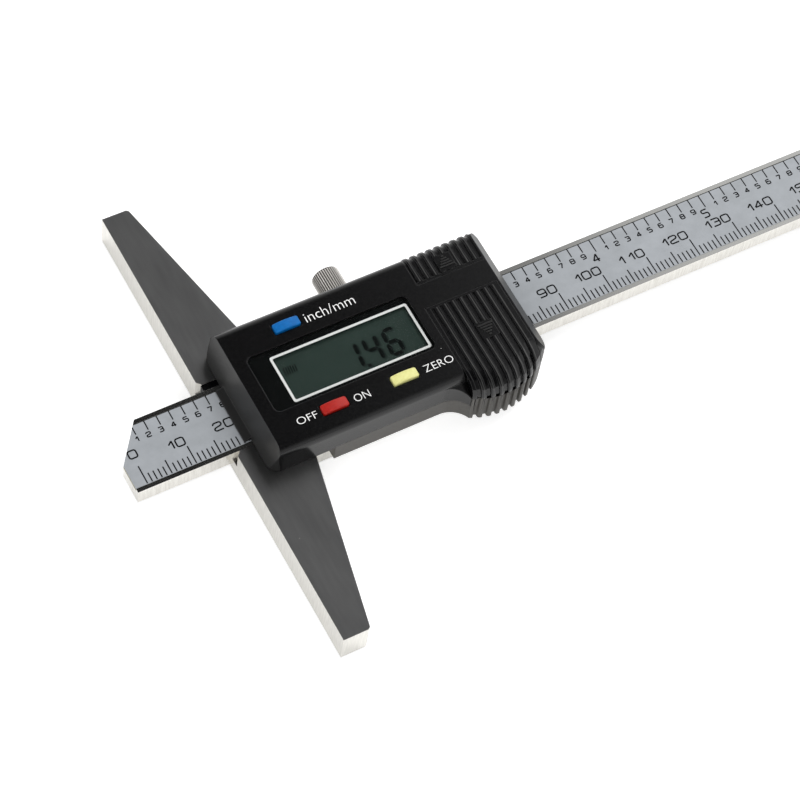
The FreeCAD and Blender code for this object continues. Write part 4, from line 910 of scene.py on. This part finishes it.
def display_reading():
    """The reading on the display, three slanted digits and a point over their shadow, and the unit."""
    low, high, shadow_high = (DISPLAY_TOP + level for level in INK_LEVELS)
    shapes = []
    for digit, left in DIGIT_LEFTS:
        shapes += segment_outlines(digit, left)
    shapes.append(POINT)
    unit = []
    for bar in range(UNIT_BARS):
        foot = UNIT_LEFT + bar * UNIT_PITCH
        head = foot + UNIT_LEAN
        unit.append([
            (foot, UNIT_LOW), (foot + UNIT_BAR, UNIT_LOW), (head + UNIT_BAR, UNIT_HIGH), (head, UNIT_HIGH),
        ])
    cast = [[(x + SHADOW[0], y + SHADOW[1]) for x, y in points] for points in shapes]
    digits = slabs("digits", shapes + unit, low, high, FINISHES["display_ink"])
    shadow = slabs("shadow", cast, low, shadow_high, FINISHES["display_shade"])
    stand_in_scene("display_reading", merged("display_reading", [shadow, digits]), "frame")


# ---------------- words and arrows

HOUSING_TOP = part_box("housing_top")[1].z / MM
WORD_SUNK, WORD_RAISED = 0.01, 0.02
# Each word's left, right, bottom and top in millimetres
WORDS = {
    "inch/mm": (22.6, 33.0, 8.62, 10.75),
    "ZERO": (37.7, 43.8, -10.5, -8.95),
    "ON": (22.8, 26.0, -10.65, -9.05),
    "OFF": (10.9, 15.1, -10.5, -9.0),
}


def button_words():
    """The words beside the buttons."""
    low, high = HOUSING_TOP - WORD_SUNK, HOUSING_TOP + WORD_RAISED
    meshes = [lettering("word", text, box, low, high, FINISHES["letter_ink"]) for text, box in WORDS.items()]
    stand_in_scene("button_words", merged("button_words", meshes), "frame")


ARROW_BARS = 5
ARROW_HALF, ARROW_TIP_HALF = 1.6, 0.1
ARROW_BAR = 0.3


def arrow_ridges(name, body, base_y, tip_y):
    """The raised bars of an arrow that shows which way a cover slides, in a grey with painted highlights."""
    strokes = []
    for number in range(ARROW_BARS):
        share = (number + 0.5) / ARROW_BARS
        y = base_y + (tip_y - base_y) * share
        half = ARROW_HALF * (1 - share) + ARROW_TIP_HALF
        strokes.append(([(ARROW_X - half, y), (ARROW_X + half, y)], False, HOUSING_TOP))
    mesh = run_tree(name, wires(name, strokes), STROKES, {
        "Width": ARROW_BAR * MM, "Height": ARROW_BAR * MM, "Corner": 0.0, "Corner Steps": 1,
        "Ink": FINISHES["highlit_ridge"],
    })
    stand_in_scene(name, mesh, body)


# ---------------- moulded and turned pieces over the CAD's

BODY_OF = {node: body for body, members in frame["record"]["behaviour"]["bodies"].items() for node in members}
SLOT_OF = {part["node"]: part["material_slot"] for part in frame["record"]["subparts"]}
NEAR = 0.01
LEAST_TURN = math.radians(50)
SIDE_NORMAL = 0.9
COVER_ROUND, FIN_ROUND = 0.28, 0.42


def round_ribs(shape, reach):
    """Round the outer edges of the grip's ribs, which a moulding tool leaves soft."""
    chosen = []
    for edge in shape.edges:
        first, second = edge.verts[0].co / MM, edge.verts[1].co / MM
        beside_rib = any(abs(first.x - side) < NEAR for side in RIB_SIDES)
        if abs(first.x - second.x) > NEAR or not beside_rib:
            continue
        if len(edge.link_faces) != 2 or edge.calc_face_angle_signed() < LEAST_TURN:
            continue
        crowns = [face.normal for face in edge.link_faces if abs(face.normal.x) < SIDE_NORMAL]
        if len(crowns) != 1 or crowns[0].z <= -0.5:
            continue
        level_on_a_side = abs(crowns[0].z) < 0.5 and abs(first.z - second.z) < NEAR
        if not level_on_a_side:
            chosen.append(edge)
    bmesh.ops.bevel(shape, geom=chosen, offset=reach * MM, segments=4, profile=0.5, affect="EDGES")


WELD = 2e-6
LEVEL = math.radians(0.5)


def dressed(node, sharp=28.0, ribs=0.0):
    """A merged copy of a CAD node whose curved faces shade as one, standing for the node."""
    shape = bmesh.new()
    shape.from_mesh(CAD[node].data)
    bmesh.ops.remove_doubles(shape, verts=shape.verts, dist=WELD)
    bmesh.ops.dissolve_limit(shape, angle_limit=LEVEL, verts=shape.verts, edges=shape.edges)
    if ribs:
        round_ribs(shape, ribs)
    for edge in shape.edges:
        edge.smooth = len(edge.link_faces) == 2 and edge.calc_face_angle() < math.radians(sharp)
    for face in shape.faces:
        face.smooth = True
    mesh = bpy.data.meshes.new(node + "_shell")
    shape.to_mesh(mesh)
    shape.free()
    mesh.materials.append(FINISHES[SLOT_OF[node]])
    piece = stand_in_scene(node + "_shell", mesh, BODY_OF[node])
    weighted = piece.modifiers.new("even_shading", "WEIGHTED_NORMAL")
    weighted.keep_sharp = True
    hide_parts(node)
    return piece


def dressed_window():
    """The window with its cut edges in the border's black, painted as the shade of the dark recess they sit
    in.
    """
    mesh = dressed("window_lens").data
    mesh.materials.append(FINISHES["window_black"])
    # The cut edges take the black as painted shade
    for face in mesh.polygons:
        if abs(face.normal.z) < 0.5:
            face.material_index = 1


# The lock screw in millimetres
NOSE, NOSE_LENGTH, SHANK = 0.8, 0.9, 1.5
HEAD_LENGTH, EASE, RIM_INSET = 7.1, 0.45, 0.1
DISH_DEPTH, DISH_TOP, DISH_FOOT = 0.12, 1.2, 1.3
RIDGES, KNURL_DEPTH = 36, 0.3
RIDGE_LIFT = (0.0, 0.55, 1.0, 0.55)


def knurled_screw():
    """The lock screw turned in one: nose, shank and a knurled head with eased ends."""
    low, high = (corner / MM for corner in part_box("lock_screw"))
    centre_x, centre_z, radius = (low.x + high.x) / 2, (low.z + high.z) / 2, (high.x - low.x) / 2
    head, rim = high.y - HEAD_LENGTH, radius - EASE - RIM_INSET
    nose_end, dish = low.y + NOSE_LENGTH, high.y - DISH_DEPTH
    # Each ring's place along the screw, its radius and its share of the knurl
    rings = [(low.y, 0.0, 0), (low.y, NOSE, 0), (nose_end, NOSE, 0), (nose_end, SHANK, 0), (head, SHANK, 0),
             (head, rim, 0), (head + EASE * 0.4, radius - EASE * 0.45, 0.4),
             (head + EASE, radius, 1), (high.y - EASE * 1.4, radius, 1),
             (high.y - EASE * 0.5, radius - EASE * 0.35, 0.6), (high.y, rim, 0),
             (high.y, radius - DISH_TOP, 0), (dish, radius - DISH_FOOT, 0), (dish, 0.0, 0)]
    steps = len(RIDGE_LIFT)
    count = RIDGES * steps
    vertices, faces = [], []
    for y, ring, share in rings:
        if ring == 0.0:
            vertices.append((centre_x * MM, y * MM, centre_z * MM))
            continue
        for index in range(count):
            angle = 2 * math.pi * index / count
            out = ring - KNURL_DEPTH * share * (1 - RIDGE_LIFT[index % steps])
            x, z = centre_x + out * math.sin(angle), centre_z + out * math.cos(angle)
            vertices.append((x * MM, y * MM, z * MM))
    last = len(rings) - 1
    start = 1
    for index in range(count):
        after = (index + 1) % count
        faces.append((0, start + index, start + after))
        for ring in range(last - 2):
            a, b = start + ring * count, start + (ring + 1) * count
            faces.append((a + index, b + index, b + after, a + after))
        a = start + (last - 2) * count
        faces.append((a + index, len(vertices) - 1, a + after))
    mesh = new_mesh("lock_screw_turned", vertices, faces, FINISHES["lock_screw"])
    piece = stand_in_scene("lock_screw_turned", mesh, "lock_screw")
    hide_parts("lock_screw")


for moulding in (
    "housing_top", "side_rail_upper", "button_inch_mm", "button_on_off", "button_zero", "housing_screws",
    "beam_stop_screws",
):
    dressed(moulding)
for ribbed, reach in (
    ("battery_cover", COVER_ROUND), ("data_port_cover", COVER_ROUND), ("side_rail_lower", FIN_ROUND),
):
    dressed(ribbed, ribs=reach)
dressed_window()
knurled_screw()
scale_marks()
scale_numbers()
window_print()
display_reading()
button_words()
arrow_ridges("arrow_battery", "battery_door", base_y=-5.5, tip_y=-8.4)
arrow_ridges("arrow_port", "data_door", base_y=8.6, tip_y=11.3)


# ---------------- floor, light and camera

FLOOR_REACH, FLOOR_GAP = 3.0, 0.0002
# How strongly the floor glows in mirrors and to the camera
FLOOR_GLOW = (0.36, 0.6)


def pale_floor():
    """A pale floor that shows as white and keeps the gauge's shadow."""
    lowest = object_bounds()[0].z - FLOOR_GAP
    corners = [(x * FLOOR_REACH, y * FLOOR_REACH, lowest) for x, y in ((-1, -1), (1, -1), (1, 1), (-1, 1))]
    made, tree, _ = new_material("pale_floor")
    floor = new_object("floor", new_mesh("floor", corners, [(0, 1, 2, 3)], made))
    floor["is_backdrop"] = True
    rays = add(tree, "ShaderNodeLightPath").outputs
    direct = calc(tree, "ADD", rays["Is Camera Ray"], rays["Is Glossy Ray"])
    seen = calc(tree, "ADD", direct, rays["Is Transmission Ray"], clamp=True)
    matt = add(tree, "ShaderNodeBsdfDiffuse", {"Color": (0.8, 0.8, 0.8, 1.0)})
    level = between(tree, rays["Is Camera Ray"], *FLOOR_GLOW)
    glow = add(tree, "ShaderNodeEmission", {"Strength": calc(tree, "MULTIPLY", seen, level)})
    both = add(tree, "ShaderNodeAddShader", {0: matt.outputs[0], 1: glow.outputs[0]})
    tree.links.new(both.outputs[0], tree.nodes["Material Output"].inputs["Surface"])


# What gloss mirrors: the panel's edge by the world's x, the horizon by its z, and their levels
PANEL_EDGE, PANEL_LEVELS = (0.358, 0.4), (0.03, 0.95)
HORIZON_EDGE = (0.3, 0.7)
HORIZON_RUN, HORIZON_LEVELS = (-0.7, 0.2), (0.95, 0.8)
MATT_LEVEL = 0.45


def soft_world():
    """White to the camera, even to matt faces; gloss sees a dim ceiling with a pale panel beyond the beam."""
    world = bpy.data.worlds.new("soft_world")
    bpy.context.scene.world = world
    world.use_nodes = True
    tree = world.node_tree
    rays = add(tree, "ShaderNodeLightPath").outputs
    where = add(tree, "ShaderNodeTexCoord").outputs["Generated"]
    axes = axes_of(tree, where)
    panel = between(tree, axes[0], *PANEL_LEVELS, *PANEL_EDGE)
    level = between(tree, axes[2], 1.0, 0.0, *HORIZON_EDGE)
    horizon = between(tree, axes[0], *HORIZON_LEVELS, *HORIZON_RUN)
    above = calc(tree, "MULTIPLY", panel, calc(tree, "SUBTRACT", 1.0, level))
    glossy = calc(tree, "ADD", above, calc(tree, "MULTIPLY", horizon, level))
    even = calc(tree, "MULTIPLY", rays["Is Diffuse Ray"], MATT_LEVEL)
    seen = calc(tree, "MULTIPLY", calc(tree, "SUBTRACT", 1.0, rays["Is Diffuse Ray"]), glossy)
    strength = calc(tree, "MAXIMUM", calc(tree, "ADD", even, seen), rays["Is Camera Ray"])
    tree.links.new(strength, tree.nodes["Background"].inputs["Strength"])
    tree.nodes["Background"].inputs["Color"].default_value = (1.0, 1.0, 1.0, 1.0)


def softbox(name, place, power, aim=(0.05, 0.0, 0.0), size=0.6):
    """A square soft light that mirrors don't see."""
    lamp = bpy.data.lights.new(name, "AREA")
    lamp.shape = "SQUARE"
    lamp.size = size
    lamp.energy = power
    holder = new_object(name, lamp)
    holder.visible_glossy = False
    holder.visible_transmission = False
    holder.location = place
    holder.rotation_mode = "QUATERNION"
    holder.rotation_quaternion = (Vector(aim) - Vector(place)).to_track_quat("-Z", "Y")


def photo_camera():
    """The photograph's viewpoint, worked out from the scale's marks in it."""
    place = Vector((-0.14215, -0.23795, 0.47716))
    right = Vector((0.87260184, -0.47734523, 0.10347733))
    down = Vector((-0.36500493, -0.77806835, -0.51125438))
    ahead = Vector((0.32455728, 0.40835178, -0.85317724))
    data = bpy.data.cameras.new("camera")
    data.sensor_width = 36.0
    data.lens = 131.92
    data.shift_x, data.shift_y = -0.0299, 0.0051
    data.clip_start, data.clip_end = 0.01, 10.0
    camera = new_object("camera", data)
    turn = Matrix((right, -down, -ahead)).transposed().to_4x4()
    camera.matrix_world = Matrix.Translation(place) @ turn
    bpy.context.scene.camera = camera


pale_floor()
soft_world()
softbox("key_light", place=(0.45, 0.25, 0.65), power=4.2)
softbox("fill_light", place=(-0.35, -0.45, 0.5), power=2.0)
photo_camera()
bpy.context.scene.view_settings.view_transform = "Standard"
